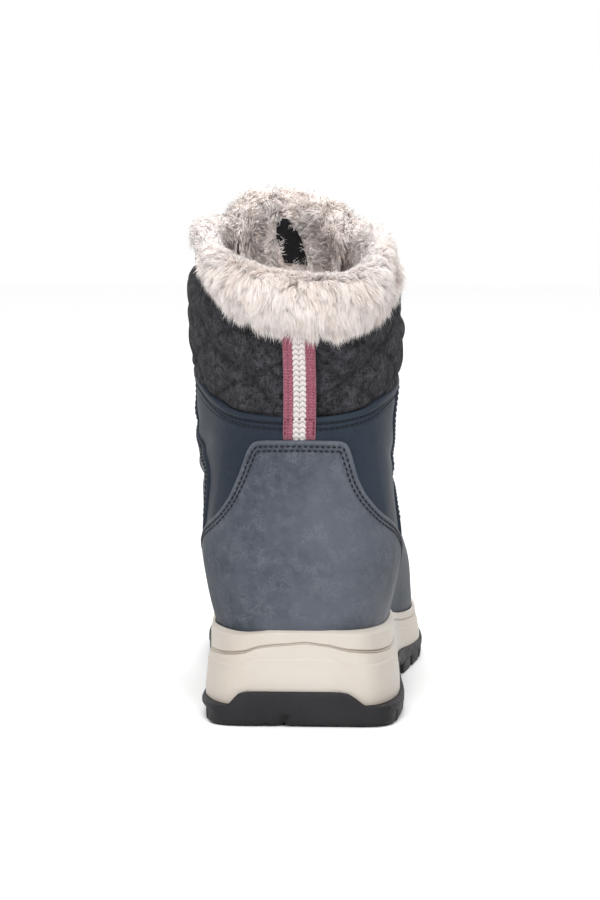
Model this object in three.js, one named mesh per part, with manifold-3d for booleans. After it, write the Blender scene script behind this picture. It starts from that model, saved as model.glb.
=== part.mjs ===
// A women's snow boot for the right foot: cream moulded midsole on a lugged rubber outsole, leather
// upper with a quilted felt collar, fur cuff and lining, padded tongue, lacing and a webbing pull loop.
//
// Millimetres, +Z up, +Y from heel to toe, +X to the wearer's right, which is the outer side.
// Every shape is worked out in the boot's own frame, whose zero is on the floor below the back of the
// heel, and the finished group is moved so that the floor point below its middle is the origin.

import * as THREE from "three";
import { mergeVertices } from "three/addons/utils/BufferGeometryUtils.js";
import Module from "manifold-3d";

const wasm = await Module();
wasm.setup();

// ---------------------------------------------------------------- driving dimensions

const MIDDLE = { x: -3.1, y: 133.8 }; // the middle of the finished boot, from the back of the heel
const GAP = 0.3; // clearance between pieces that touch
const WALL = 4.5; // leather, padding and fleece of the upper together
const LIFT = 0.7; // an overlay's inner face above the upper
const OVERLAY = 1.4; // an overlay's thickness
const CUP_DEPTH = 6; // how far the upper sits down into the midsole
const LUG_DEPTH = 4.5;
const HEEL_ARCH = 5.2; // how far the rubber rises behind the heel, between its corners
const HEEL_BEVEL = 0.5;
const TOE_SPRING = 14;
const AROUND = 44; // points in each closed ring
const COLLAR = 9; // height of the upper's top edge, counted in rows of RINGS

// The outer surface of the upper, a row for each ring from the feather edge to the collar.
// heelY, heelZ, toeY and toeZ place the ring's back and front; rise is its height above the sole line,
// which it follows by the share in follow; heel, waist, ball and nose are half widths at 15, 42, 68
// and 92 % of its length; lean moves waist and ball outwards; swing is the x of its front; hump lifts
// its sides and tilt lifts the inner one; its ends are squared, the heel by square and the toe by
// toeSquare, the more the smaller they are.
const RING_COLUMNS = [
  "heelY", "heelZ", "toeY", "toeZ", "rise", "follow", "heel", "waist", "ball", "nose",
  "waistLean", "ballLean", "swing", "hump", "tilt", "square", "toeSquare",
];
const RINGS = [
  [8.5, 31, 254.5, 28, -6, 1, 31.5, 27.6, 39.6, 24.5, 5, 2.4, -8, 0, 0, 0.5, 0.7],
  [6.5, 40, 257, 38, 3, 1, 33.6, 29.4, 41.4, 26, 5, 2.4, -8, 0, 0, 0.5, 0.7],
  [4.8, 54, 255.5, 50, 14, 0.6, 36.2, 33, 40.2, 26, 3.5, 2, -8, 0, 0, 0.56, 0.72],
  [4.6, 68, 243, 61.5, 26, 0.25, 38, 35.5, 36.5, 22, 2, 1, -8, 0, 0, 0.64, 0.76],
  [5.6, 82, 217, 71, 40, 0, 36.3, 36.3, 33.5, 18.5, -0.5, 1, -8.5, 0, 0, 0.76, 0.8],
  [7.2, 95, 188, 85, 54, 0, 34.4, 37.6, 31.5, 17.5, -1.2, 0, -9, 0, 0, 0.84, 0.84],
  [8.6, 109, 162, 106, 70, 0, 32.8, 39, 32, 18, -1.2, 0, -10, 0, 0, 0.88, 0.88],
  [9, 125, 140, 131, 90, 0, 32.4, 40.6, 35, 20.5, 0.2, 0, -10.5, 2, 0.5, 0.9, 0.9],
  [7.5, 143, 126, 156, 110, 0, 32.6, 41.6, 38, 23, 0.3, 0, -11, 4, 2, 0.92, 0.92],
  [6, 163, 119, 182, 130, 0, 31, 38.8, 36.5, 22.5, 0, 0, -11, 6.5, 4, 0.92, 0.92],
].map((row) => Object.fromEntries(RING_COLUMNS.map((name, i) => [name, row[i]])));

// The sole's widest outline, in the same columns.
const SOLE = {
  heelY: 0,
  toeY: 268,
  heel: 38.6,
  waist: 34.5,
  ball: 45.4,
  nose: 31.5,
  waistLean: 4.4,
  ballLean: 2.4,
  swing: -8,
  square: 0.2,
  toeSquare: 0.8,
};

// Heights along the boot, as [distance from the back of the heel, height].
const SOLE_LINE = smooth([
  [0, 36.2], [22, 35.6], [72, 34.8], [104, 29.8], [138, 24], [172, 22], [205, 23.6], [235, 28], [262, 34],
]);
const RUBBER_LINE = smooth([
  [0, 8], [66, 8], [90, 10.6], [118, 11], [150, 8.8], [185, 8.4], [215, 11.2], [245, 17.5], [268, 25],
]);
const ARCH = { from: 70, to: 121 }; // the waist of the sole, which is off the floor
const ARCH_LINE = smooth([[ARCH.from, 0], [82, 3.2], [96, 3.6], [110, 3.2], [ARCH.to, 0]]);

// Half width of the throat, and of the tongue below it, by ring.
const THROAT = smooth([[4.2, 6], [4.5, 10.5], [5, 12.5], [7, 13.5], [9.6, 16.5]]);
const TONGUE = { from: 3.95, to: 9.5, lower: 15.5, upper: 25.5, thin: 4.5, thick: 8 };

// The flat-topped arch in the rubber behind the heel: where it ends, how far each of its slopes runs, and
// how far forward it goes. The sole's upper edge: its height on the upper, and how far it stands out.
const REAR_ARCH = { reach: 28.5, innerSlope: 6.5, outerSlope: 9, depth: 30 };
const SOLE_TOP = { v: 0.66, out: 0.4 };
// How far in the seam of rubber and foam lies, from 0 at the widest to 1 at the upper, and the lugs' faces.
const RUBBER_TOP = 0.28;
const RUBBER_WALL = 0.02;

// The tread. Edge blocks lie between shares of the sole's length; blocks in the middle run from y for a
// length between two x, and slant; bars follow the outline between angles from the back of the heel.
const EDGE_BLOCKS = [
  { from: 0.46, to: 0.85, count: 5, depth: 15 },
  { from: 0.045, to: 0.285, count: 2, depth: 17 },
];
const EDGE_SLOT = 0.014; // the gap between edge blocks, as a share of the sole's length
const FOREFOOT_BLOCKS = {
  from: 130,
  to: 206,
  count: 4,
  length: 13,
  slant: 4,
  inner: [-23, -5.5],
  outer: [-2.5, 15],
};
const HEEL_BLOCKS = { starts: [24, 46], length: 15, inner: [-14, -2], outer: [2, 14] };
const BACK_BARS = { angles: [[-0.42, -0.05], [0.03, 0.42]], pieces: 6, depth: 13, shift: 0 };
const TOE_BARS = { angles: [[2.4, 2.74], [2.8, 3.48], [3.54, 3.88]], pieces: 4, depth: -11, shift: -1.4 };
const BAR_TAPER = 0.82; // a bar's inner edge, as a share of the outline's width

// ---------------------------------------------------------------- curves and surfaces

/** A smooth function through knots of [x, y], straight beyond its ends. */
function smooth(knots) {
  const slope = knots.map((_, i) => {
    const a = knots[Math.max(i - 1, 0)];
    const b = knots[Math.min(i + 1, knots.length - 1)];
    return (b[1] - a[1]) / (b[0] - a[0]);
  });
  return (x) => {
    const last = knots.length - 1;
    if (x <= knots[0][0]) return knots[0][1] + slope[0] * (x - knots[0][0]);
    if (x >= knots[last][0]) return knots[last][1] + slope[last] * (x - knots[last][0]);
    const i = knots.findIndex((knot) => knot[0] > x) - 1;
    const [x0, y0] = knots[i];
    const [x1, y1] = knots[i + 1];
    const d = x1 - x0;
    const t = (x - x0) / d;
    const s = 1 - t;
    const ends = s * s * (1 + 2 * t) * y0 + t * t * (1 + 2 * s) * y1;
    return ends + s * t * d * (s * slope[i] - t * slope[i + 1]);
  };
}

/** The columns of RINGS as smooth functions of height, and the row that they give at one height. */
const COLUMNS = Object.keys(RINGS[0]).map((key) => [key, smooth(RINGS.map((row, i) => [i, row[key]]))]);
const ringAt = (v) => Object.fromEntries(COLUMNS.map(([key, column]) => [key, column(v)]));

/** Half width of an outline at a share f of its length, on the outer side (+1) or the inner one (-1). */
function halfWidth(row, f, side) {
  const squareAt = (share) => mix(row.square, row.toeSquare, share);
  const end = (share) => Math.pow(2 * Math.sqrt(Math.max(share * (1 - share), 0)), squareAt(share));
  const swell = smooth([
    [0.15, row.heel / end(0.15)],
    [0.42, (row.waist + side * row.waistLean) / end(0.42)],
    [0.68, (row.ball + side * row.ballLean) / end(0.68)],
    [0.92, row.nose / end(0.92)],
  ]);
  return end(f) * swell(Math.min(Math.max(f, 0.1), 0.95));
}

/** The point of an outline at an angle from its back, which is positive on the outer side. */
function outlinePoint(row, angle) {
  const f = (1 - Math.cos(angle)) / 2;
  const side = Math.sin(angle) < 0 ? -1 : 1;
  const x = row.swing * f + side * halfWidth(row, f, side);
  return new THREE.Vector3(x, row.heelY + (row.toeY - row.heelY) * f, 0);
}

/** The upper's outer surface at an angle round the boot and a height v in rows of RINGS. */
function skinPoint(angle, v) {
  const row = ringAt(v);
  const p = outlinePoint(row, angle);
  const f = (1 - Math.cos(angle)) / 2;
  const level = row.heelZ + (row.toeZ - row.heelZ) * f;
  const side = Math.sin(angle);
  const followed = SOLE_LINE(p.y) + row.rise;
  p.z = mix(level, followed, row.follow) + row.hump * side * side - row.tilt * side;
  return p;
}

/** The same surface moved out along its normal. */
function skin(angle, v, out = 0) {
  const p = skinPoint(angle, v);
  return out ? p.addScaledVector(skinNormal(angle, v), out) : p;
}

function skinNormal(angle, v) {
  const e = 0.02;
  const along = skinPoint(angle + e, v).sub(skinPoint(angle - e, v));
  const up = skinPoint(angle, v + e).sub(skinPoint(angle, v - e));
  return along.cross(up).normalize();
}

/** The upper's surface moved out level, and then set to a height. */
function beside(angle, v, out, z) {
  const n = skinNormal(angle, v).setZ(0).normalize();
  const p = skinPoint(angle, v).addScaledVector(n, out);
  return z === undefined ? p : p.setZ(z);
}

/** The angle at which the ring at v is w wide, from its middle, ahead of its widest place. */
function angleAt(v, side, w) {
  let near = Math.PI * 0.55;
  let far = Math.PI;
  for (let step = 0; step < 24; step++) {
    const middle = (near + far) / 2;
    const f = (1 - Math.cos(middle)) / 2;
    if (halfWidth(ringAt(v), f, side) > w) near = middle;
    else far = middle;
  }
  return (side * (near + far)) / 2;
}

// ---------------------------------------------------------------- solids

const mix = (a, b, t) => a + (b - a) * t;
const steps = (count, from = 0, to = 1) =>
  Array.from({ length: count + 1 }, (_, i) => mix(from, to, i / count));
const ANGLES = Array.from({ length: AROUND }, (_, i) => ((i + 0.5) / AROUND) * 2 * Math.PI);

/** A manifold solid from positions and triangles, turned to face outwards. */
function solid(positions, triangles) {
  const vertProperties = new Float32Array(positions);
  const make = (list) =>
    new wasm.Manifold(new wasm.Mesh({ numProp: 3, vertProperties, triVerts: new Uint32Array(list) }));
  let volume = 0;
  const at = (i) => new THREE.Vector3(positions[3 * i], positions[3 * i + 1], positions[3 * i + 2]);
  for (let i = 0; i < triangles.length; i += 3)
    volume += at(triangles[i]).dot(at(triangles[i + 1]).cross(at(triangles[i + 2])));
  return make(volume > 0 ? triangles : triangles.slice().reverse());
}

/** Rings of equal length joined in order. The ends are closed across, point i to the one as far from
 * the ring's end, or with loop the last ring joins the first. */
function loft(rings, loop = false) {
  const n = rings[0].length;
  const positions = rings.flat().flatMap((p) => [p.x, p.y, p.z]);
  const triangles = [];
  const joins = loop ? rings.length : rings.length - 1;
  for (let r = 0; r < joins; r++) {
    const low = r * n;
    const high = ((r + 1) % rings.length) * n;
    for (let i = 0; i < n; i++) {
      const j = (i + 1) % n;
      triangles.push(low + i, low + j, high + j, low + i, high + j, high + i);
    }
  }
  if (!loop)
    [[0, false], [(rings.length - 1) * n, true]].forEach(([base, top]) => {
      for (let i = 0; i < n / 2 - 1; i++) {
        const [a, b, c, d] = [i, i + 1, n - 2 - i, n - 1 - i].map((k) => base + k);
        triangles.push(...(top ? [a, b, c, a, c, d] : [c, b, a, d, c, a]));
      }
    });
  return solid(positions, triangles);
}

/** A plate over the upper: place(s, t) gives [angle, v] for shares s and t, between two offsets. */
function plate(place, inner, outer, across, up) {
  return loft(
    steps(across).map((s) => {
      const spots = steps(up).map((t) => place(s, t));
      const outside = spots.map(([angle, v]) => skin(angle, v, outer));
      const inside = spots.map(([angle, v]) => skin(angle, v, inner));
      return [...outside, ...inside.reverse()];
    }),
  );
}

/** A round cord of a few sides along points. */
function cord(points, radius, sides = 6) {
  const path = new THREE.CatmullRomCurve3(points);
  const circle = new THREE.Shape(
    steps(sides - 1, 0, 2 * Math.PI * (1 - 1 / sides)).map(
      (a) => new THREE.Vector2(radius * Math.cos(a), radius * Math.sin(a)),
    ),
  );
  const along = { steps: 3 * (points.length - 1), extrudePath: path };
  return fromGeometry(new THREE.ExtrudeGeometry(circle, along));
}

/** A manifold solid from a closed three.js geometry. */
function fromGeometry(geometry) {
  const bare = new THREE.BufferGeometry();
  bare.setAttribute("position", geometry.getAttribute("position"));
  if (geometry.index) bare.setIndex(geometry.index);
  const merged = mergeVertices(bare, 1e-3);
  return solid(Array.from(merged.getAttribute("position").array), Array.from(merged.index.array));
}

const together = (solids) => solids.reduce((all, one) => all.add(one));

// ---------------------------------------------------------------- sole

/** How far the tread is off the floor: flat below heel and ball, with a toe spring and a heel bevel. */
function tread(y) {
  const toe = Math.max(y - 192, 0) / 76;
  const heel = Math.max(9 - y, 0) / 9;
  return TOE_SPRING * toe * toe + HEEL_BEVEL * heel * heel;
}

/** The line where rubber meets foam. Behind the heel the rubber rises in a flat-topped arch. */
function rubberLine(p) {
  const slope = p.x < 0 ? REAR_ARCH.innerSlope : REAR_ARCH.outerSlope;
  const arch = (REAR_ARCH.reach - Math.abs(p.x)) / slope;
  const rise = p.y < REAR_ARCH.depth ? THREE.MathUtils.clamp(arch, 0, 1) : 0;
  return RUBBER_LINE(p.y) + HEEL_ARCH * rise;
}

/** A point of the sole's side: t runs from the widest outline, 0, to the upper's own, 1. */
function soleSide(angle, t) {
  const outer = outlinePoint(SOLE, angle);
  const inner = beside(angle, SOLE_TOP.v, SOLE_TOP.out, 0);
  return outer.lerp(inner, t);
}

function soleRing(t, height) {
  return ANGLES.map((angle) => {
    const p = soleSide(angle, t);
    return p.setZ(height(p, angle));
  });
}

function midsole() {
  const share = (s) => (p) => mix(rubberLine(p), SOLE_LINE(p.y), s);
  // How the moulded side steps in from the rubber to the lip, as [share of its height, t].
  const steppedSide = [[0.3, 0.38], [0.5, 0.41], [0.54, 0.48], [0.74, 0.52], [0.79, 0.6], [0.97, 0.64]];
  const cup = (v, drop) =>
    ANGLES.map((angle) => {
      const p = beside(angle, v, SOLE_TOP.out);
      return p.setZ(v ? SOLE_LINE(p.y) - drop : p.z - drop);
    });
  return loft([
    soleRing(RUBBER_TOP, (p) => rubberLine(p) + GAP / 2),
    ...steppedSide.map(([height, t]) => soleRing(t, share(height))),
    soleRing(0.7, share(1)),
    cup(SOLE_TOP.v, 0.2),
    cup(0, GAP + 0.1),
  ]);
}

/** A tread block on a four-cornered foot, tapering a little to the floor. */
function lug(corners) {
  const centre = corners.reduce((sum, p) => sum.add(p), new THREE.Vector2()).divideScalar(corners.length);
  const ring = (taper, lift) =>
    corners.map((p) => {
      const [x, y] = [mix(centre.x, p.x, taper), mix(centre.y, p.y, taper)];
      return new THREE.Vector3(x, y, tread(y) + lift);
    });
  return loft([ring(0.96, 0), ring(1, LUG_DEPTH + 1)]);
}

/** Blocks along the sole's edge on one side. */
function edgeBlocks({ from, to, count, depth }, side) {
  const edges = steps(count, from, to);
  return edges.slice(1).map((edge, i) => {
    const shares = [edges[i] + EDGE_SLOT / 2, edge - EDGE_SLOT / 2];
    const outer = shares.map((f) => soleSide(side * Math.acos(1 - 2 * f), RUBBER_WALL));
    const inner = outer.map((p) => new THREE.Vector2(p.x - side * depth, p.y + 3));
    const [a, b] = outer.map((p) => new THREE.Vector2(p.x, p.y));
    return lug([a, b, inner[1], inner[0]]);
  });
}

/** A block under the middle of the foot, whose inner side lies back by slant. */
function middleBlock([x0, x1], y0, length, slant = 0) {
  const y1 = y0 + length;
  const corners = [[x0, y0 - slant], [x1, y0], [x1, y1], [x0, y1 - slant]];
  return lug(corners.map(([x, y]) => new THREE.Vector2(x, y)));
}

/** Bars across the back of the heel or round the toe, which follow the outline. */
function bars({ angles, pieces, depth, shift }) {
  return angles.map(([from, to]) =>
    loft(
      steps(pieces, from, to).map((angle) => {
        const outer = soleSide(angle, RUBBER_WALL);
        const inner = new THREE.Vector3(outer.x * BAR_TAPER + shift, outer.y + depth, 0);
        const foot = [outer, inner].map((p) => tread(p.y));
        const root = foot.map((z) => z + LUG_DEPTH + 1);
        return [
          outer.clone().setZ(foot[0]),
          inner.clone().setZ(foot[1]),
          inner.clone().setZ(root[1]),
          outer.clone().setZ(root[0]),
        ];
      }),
    ),
  );
}

function outsole() {
  const plateFloor = (p) => {
    const arched = p.y > ARCH.from && p.y < ARCH.to;
    return tread(p.y) + LUG_DEPTH + (arched ? Math.max(ARCH_LINE(p.y), 0) : 0);
  };
  const base = loft([
    soleRing(0.06, plateFloor),
    soleRing(0, (p) => mix(plateFloor(p), rubberLine(p), 0.45)),
    soleRing(RUBBER_TOP, (p) => rubberLine(p) - GAP / 2),
  ]);
  const edges = [1, -1].flatMap((side) => EDGE_BLOCKS.flatMap((row) => edgeBlocks(row, side)));
  const { from, to, count, length, slant, inner, outer } = FOREFOOT_BLOCKS;
  const forefoot = steps(count, from, to).flatMap((y) => [
    middleBlock(inner, y, length, slant),
    middleBlock(outer, y + slant, length, -slant),
  ]);
  const heel = HEEL_BLOCKS.starts.flatMap((y) => [
    middleBlock(HEEL_BLOCKS.inner, y, HEEL_BLOCKS.length),
    middleBlock(HEEL_BLOCKS.outer, y, HEEL_BLOCKS.length),
  ]);
  return together([base, ...edges, ...forefoot, ...heel, ...bars(BACK_BARS), ...bars(TOE_BARS)]);
}

/** The footbed: rings inside the upper, each some way in from its wall and above the midsole's cup. */
function insole() {
  const ring = (inwards, lift) =>
    ANGLES.map((angle) => {
      const p = beside(angle, 0, -WALL - inwards);
      return p.setZ(SOLE_LINE(p.y) - CUP_DEPTH + lift);
    });
  return loft([ring(1.6, 0.2), ring(1, 1.2), ring(1, 4), ring(2.4, 5)]);
}

// ---------------------------------------------------------------- upper

/** The throat's cutter: a bar that follows the front of the boot, deeper than the wall. */
const CUTTER = { from: 4.2, to: 9.9, reach: 16 };
function throatCutter() {
  return loft(
    steps(14, CUTTER.from, CUTTER.to).map((v) => {
      const front = skinPoint(Math.PI, v);
      const normal = skinNormal(Math.PI, v);
      const w = THROAT(v);
      const corner = (x, out) => front.clone().addScaledVector(normal, out).add(new THREE.Vector3(x, 0, 0));
      const { reach } = CUTTER;
      return [corner(-w, -reach), corner(w, -reach), corner(w, reach), corner(-w, reach)];
    }),
  );
}

function upper() {
  const heights = steps(17, 0, COLLAR);
  const rings = [
    ...heights.map((v) => ANGLES.map((angle) => skin(angle, v))),
    ...heights.toReversed().map((v) => ANGLES.map((angle) => skin(angle, v, -WALL))),
  ];
  return loft(rings, true).subtract(throatCutter());
}

const HEM = 0.86; // height of an overlay's lower edge, just above the midsole's lip

// The heel counter's upper edge from its middle to the tip of its wing, evenly spaced along it.
const COUNTER_EDGE = [
  { angle: 0, v: 5.94 },
  { angle: 0.2, v: 5.92 },
  { angle: 0.355, v: 5.8 },
  { angle: 0.41, v: 5.15 },
  { angle: 0.45, v: 4.5 },
  { angle: 0.52, v: 4.0 },
  { angle: 0.68, v: 3.58 },
  { angle: 0.87, v: 3.1 },
  { angle: 1.1, v: 2.2 },
  { angle: 1.3, v: 1.2 },
];

/** The heel counter: flat topped behind, with a wing on each side that sweeps forward and down. */
function heelCounter() {
  const edgeAngle = smooth(COUNTER_EDGE.map((row, i) => [i, row.angle]));
  const edgeTop = smooth(COUNTER_EDGE.map((row, i) => [i, row.v]));
  const place = (s, t) => {
    const along = (2 * s - 1) * (COUNTER_EDGE.length - 1);
    const angle = Math.sign(along) * edgeAngle(Math.abs(along));
    return [angle, mix(HEM, edgeTop(Math.abs(along)), t)];
  };
  return plate(place, LIFT, LIFT + OVERLAY, 30, 6);
}

// The toe cap's upper edge, as [angle off the front, v].
const TOE_CAP_REACH = 1.02;
const TOE_CAP_EDGE = smooth([[0, 3.0], [0.3, 2.85], [0.6, 2.2], [0.85, 1.5], [TOE_CAP_REACH, 1.1]]);

/** The toe cap: a bumper of leather round the toe, rising to a point on the vamp's middle. */
function toeCap() {
  const place = (s, t) => {
    const offFront = mix(-TOE_CAP_REACH, TOE_CAP_REACH, s);
    return [Math.PI + offFront, mix(HEM, TOE_CAP_EDGE(Math.abs(offFront)), t)];
  };
  return plate(place, LIFT, LIFT + OVERLAY, 18, 5);
}

/** A facing beside the throat, which carries the lace rings and hooks. It narrows at its foot. */
const FACING = { from: 4.35, to: 8.05, width: 17, foot: 0.75 };
function facing(side) {
  const place = (s, t) => {
    const v = mix(FACING.from, FACING.to, s);
    const wide = FACING.width * mix(FACING.foot, 1, Math.min(4 * s, 1));
    return [angleAt(v, side, THROAT(v) + 1 + wide * t), v];
  };
  return plate(place, LIFT, LIFT + OVERLAY, 12, 3);
}

/** The tongue, below the throat and standing above the collar; grow makes the room it needs. Its top
 * corners are cut back. */
const TONGUE_CORNER = { share: 0.08, cut: 3 };
function tongue(grow = 0) {
  const stations = steps(14, TONGUE.from - grow / 20, TONGUE.to + grow / 20);
  return loft(
    stations.map((v) => {
      const rise = (v - TONGUE.from) / (TONGUE.to - TONGUE.from);
      const corner = Math.max(rise - 1 + TONGUE_CORNER.share, 0) / TONGUE_CORNER.share;
      const w = mix(TONGUE.lower, TONGUE.upper, rise) + grow - TONGUE_CORNER.cut * corner;
      const thick = mix(TONGUE.thin, TONGUE.thick, Math.max(rise, 0));
      const outerSide = steps(4, angleAt(v, 1, w), Math.PI);
      const innerSide = steps(4, -Math.PI, angleAt(v, -1, w));
      const angles = [...outerSide, ...innerSide.slice(1)];
      const face = (out) => angles.map((angle) => skin(angle, v, out));
      const outer = -WALL - 0.5;
      return [...face(outer + grow), ...face(outer - thick - grow).reverse()];
    }),
  );
}

// ---------------------------------------------------------------- fur cuff

// The fur cuff by angle from the back: how far it hangs outside the felt, how far it stands off the
// felt, and how far it rises over the collar's edge.
const CUFF_ROWS = [
  { degrees: -180, hang: 3, puff: 2.4, crest: 3.5 },
  { degrees: -90, hang: 3, puff: 2.2, crest: 3.2 },
  { degrees: -50, hang: 11, puff: 4.5, crest: 5 },
  { degrees: -22, hang: 16, puff: 6.5, crest: 6.5 },
  { degrees: 0, hang: 17, puff: 7, crest: 7 },
  { degrees: 22, hang: 17, puff: 6.5, crest: 6.5 },
  { degrees: 50, hang: 14, puff: 4.5, crest: 5.5 },
  { degrees: 90, hang: 9, puff: 2.4, crest: 5 },
  { degrees: 180, hang: 5, puff: 2.4, crest: 4 },
];
const cuffColumn = (key) => smooth(CUFF_ROWS.map((row) => [row.degrees, row[key]]));
const [CUFF_HANG, CUFF_PUFF, CUFF_CREST] = ["hang", "puff", "crest"].map(cuffColumn);
const CUFF = { inside: 6, depth: 20, gap: 0.8 };

/** A point near the collar's edge: below it along the wall, and out from its outer face. */
function byCollar(angle, below, out) {
  const rise = skinPoint(angle, COLLAR).sub(skinPoint(angle, COLLAR - 0.5));
  if (below >= 0) return skin(angle, COLLAR - (below * 0.5) / rise.length(), out);
  return skin(angle, COLLAR, out).addScaledVector(rise.normalize(), -below);
}

/** The fur turned over the collar: sections across it, from one side of the throat to the other. */
function furCuff() {
  const end = angleAt(COLLAR, 1, THROAT(COLLAR) + 1);
  const sections = steps(28, -end, end).map((angle) => {
    const degrees = THREE.MathUtils.radToDeg(angle);
    const hang = CUFF_HANG(degrees);
    const puff = CUFF_PUFF(degrees);
    const crest = CUFF_CREST(degrees);
    const { inside, depth, gap } = CUFF;
    const inner = -WALL - inside;
    const face = -WALL - gap;
    // The fur's own face, as [millimetres below the collar, out from it]: from its lowest point outside,
    // over the top and down inside.
    const outerFace = [[hang + 1, puff * 0.7], [hang * 0.55, puff], [-1, puff * 0.85]];
    const top = [[-crest, 0.2 * puff - 1.5], [-crest * 0.85, inner * 0.72]];
    const innerFace = [[-1, inner - 1], [depth * 0.5, inner], [depth, inner + 1.5]];
    // The face against the wall, on the way back.
    const up = [[depth, face], [depth * 0.5, face], [-gap, face], [-gap, face * 0.7]];
    const down = [[-gap, face * 0.3], [-gap, gap], [hang * 0.55, gap], [hang, gap]];
    const section = [...outerFace, ...top, ...innerFace, ...up, ...down];
    return section.map(([below, out]) => byCollar(angle, below, out));
  });
  return loft(sections).subtract(tongue(0.5));
}

// ---------------------------------------------------------------- pull loop, lace rings, hooks and laces

/** The webbing at the back, from the heel counter's top up to the cuff, bowed off the leather. */
const LOOP = { width: 12, thickness: 1.3, from: 5.99, to: 8.07, lift: 0.7, bow: 1.2 };
function pullLoop() {
  return loft(
    steps(8).map((s) => {
      const v = mix(LOOP.from, LOOP.to, s);
      const bow = LOOP.bow * Math.sin(Math.PI * s);
      const middle = skin(0, v, LOOP.lift + bow);
      const out = skinNormal(0, v).multiplyScalar(LOOP.thickness);
      const half = new THREE.Vector3(LOOP.width / 2, 0, 0);
      const [a, b] = [middle.clone().sub(half), middle.clone().add(half)];
      return [a, b, b.clone().add(out), a.clone().add(out)];
    }),
  );
}

/** The rows of lacing up the throat, by ring: three of metal rings and then two of hooks. */
const LACE_ROWS = [4.75, 5.3, 5.85, 6.75, 7.6];
const HOOKS_FROM = 3;
const LACE = { radius: 1.8, beside: 7.5, inward: 8.8, lift: 3.4, bulge: 1.5 };

/** The frame on a facing at a lace row: its place, outward normal and the way across to the throat. */
function laceSeat(side, row) {
  const v = LACE_ROWS[row];
  const angle = angleAt(v, side, THROAT(v) + LACE.beside);
  const out = skinNormal(angle, v);
  const up = skinPoint(angle, v + 0.05).sub(skinPoint(angle, v - 0.05)).normalize();
  const inward = up.clone().cross(out).multiplyScalar(side).normalize();
  return { at: skin(angle, v, LIFT + OVERLAY + GAP), out, up, inward };
}

function placed(geometry, seat, side) {
  const basis = new THREE.Matrix4().makeBasis(seat.inward.clone().multiplyScalar(side), seat.up, seat.out);
  return geometry.clone().applyMatrix4(basis.setPosition(seat.at));
}

/** A wire ring, standing up from the facing, flattened a little towards it. */
const RING = { radius: 4, wire: 1.1, flat: 0.8 };
function laceRing(side, row) {
  const ring = new THREE.TorusGeometry(RING.radius, RING.wire, 5, 10);
  ring.rotateX(Math.PI / 2);
  ring.scale(1, 1, RING.flat);
  ring.translate(0, 0, RING.radius * RING.flat + RING.wire);
  return fromGeometry(placed(ring, laceSeat(side, row), side));
}

// A speed hook's section, as [towards the throat, out]: a strip bent back over itself, round its outer
// side and back along its inner one.
const HOOK_STRIP = [
  [-5, 0], [5.2, 0], [6.6, 1.6], [6.6, 4.2], [5.4, 5.9], [-2.4, 6.3],
  [-2.4, 5.2], [4.6, 4.8], [5.4, 3.9], [5.4, 2], [4.6, 1.1], [-5, 1.1],
];
const HOOK_WIDTH = 6.5;

/** A speed hook on the facing, with its mouth away from the throat. */
function laceHook(side, row) {
  const shape = new THREE.Shape(HOOK_STRIP.map(([x, z]) => new THREE.Vector2(x * side, z)));
  const hook = new THREE.ExtrudeGeometry(shape, { depth: HOOK_WIDTH, bevelEnabled: false });
  hook.translate(0, 0, -HOOK_WIDTH / 2);
  hook.rotateX(Math.PI / 2);
  return fromGeometry(placed(hook, laceSeat(side, row), side));
}

/** A run of lace over the throat, from beside one seat to beside another. */
function laceRun(rowA, rowB, sideA) {
  const end = ({ at, inward, out }) =>
    at.clone().addScaledVector(inward, LACE.inward).addScaledVector(out, LACE.lift);
  const [a, b] = [laceSeat(sideA, rowA), laceSeat(-sideA, rowB)];
  const [start, finish] = [end(a), end(b)];
  const bulge = a.out.clone().add(b.out).setX(0).normalize().multiplyScalar(LACE.bulge);
  return cord([start, start.clone().lerp(finish, 0.5).add(bulge), finish], LACE.radius);
}

/** A straight bar below the first row, and then a crossing from each row to the next. */
function laceCrossings() {
  const crossings = LACE_ROWS.slice(1).flatMap((_, row) =>
    [1, -1].map((side) => laceRun(row, row + 1, side)),
  );
  return together([laceRun(0, 0, 1), ...crossings]);
}

// ---------------------------------------------------------------- the boot

const FINISH = {
  rubber: { color: 0x35343a, roughness: 0.75, metalness: 0 },
  foam: { color: 0xe6dccd, roughness: 0.6, metalness: 0 },
  smoothLeather: { color: 0x38434f, roughness: 0.5, metalness: 0 },
  waxedLeather: { color: 0x5b6572, roughness: 0.65, metalness: 0 },
  fur: { color: 0xe2d6ce, roughness: 0.95, metalness: 0 },
  webbing: { color: 0xa35f74, roughness: 0.85, metalness: 0 },
  metal: { color: 0x8f9498, roughness: 0.35, metalness: 1 },
  lace: { color: 0x33373d, roughness: 0.85, metalness: 0 },
};

const boot = new THREE.Group();

function add(name, made, finish) {
  const mesh = made.getMesh();
  const geometry = new THREE.BufferGeometry();
  geometry.setAttribute("position", new THREE.BufferAttribute(mesh.vertProperties, 3));
  geometry.setIndex(new THREE.BufferAttribute(mesh.triVerts, 1));
  geometry.computeVertexNormals();
  const piece = new THREE.Mesh(geometry, new THREE.MeshStandardMaterial(FINISH[finish]));
  piece.name = name;
  boot.add(piece);
}

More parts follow.
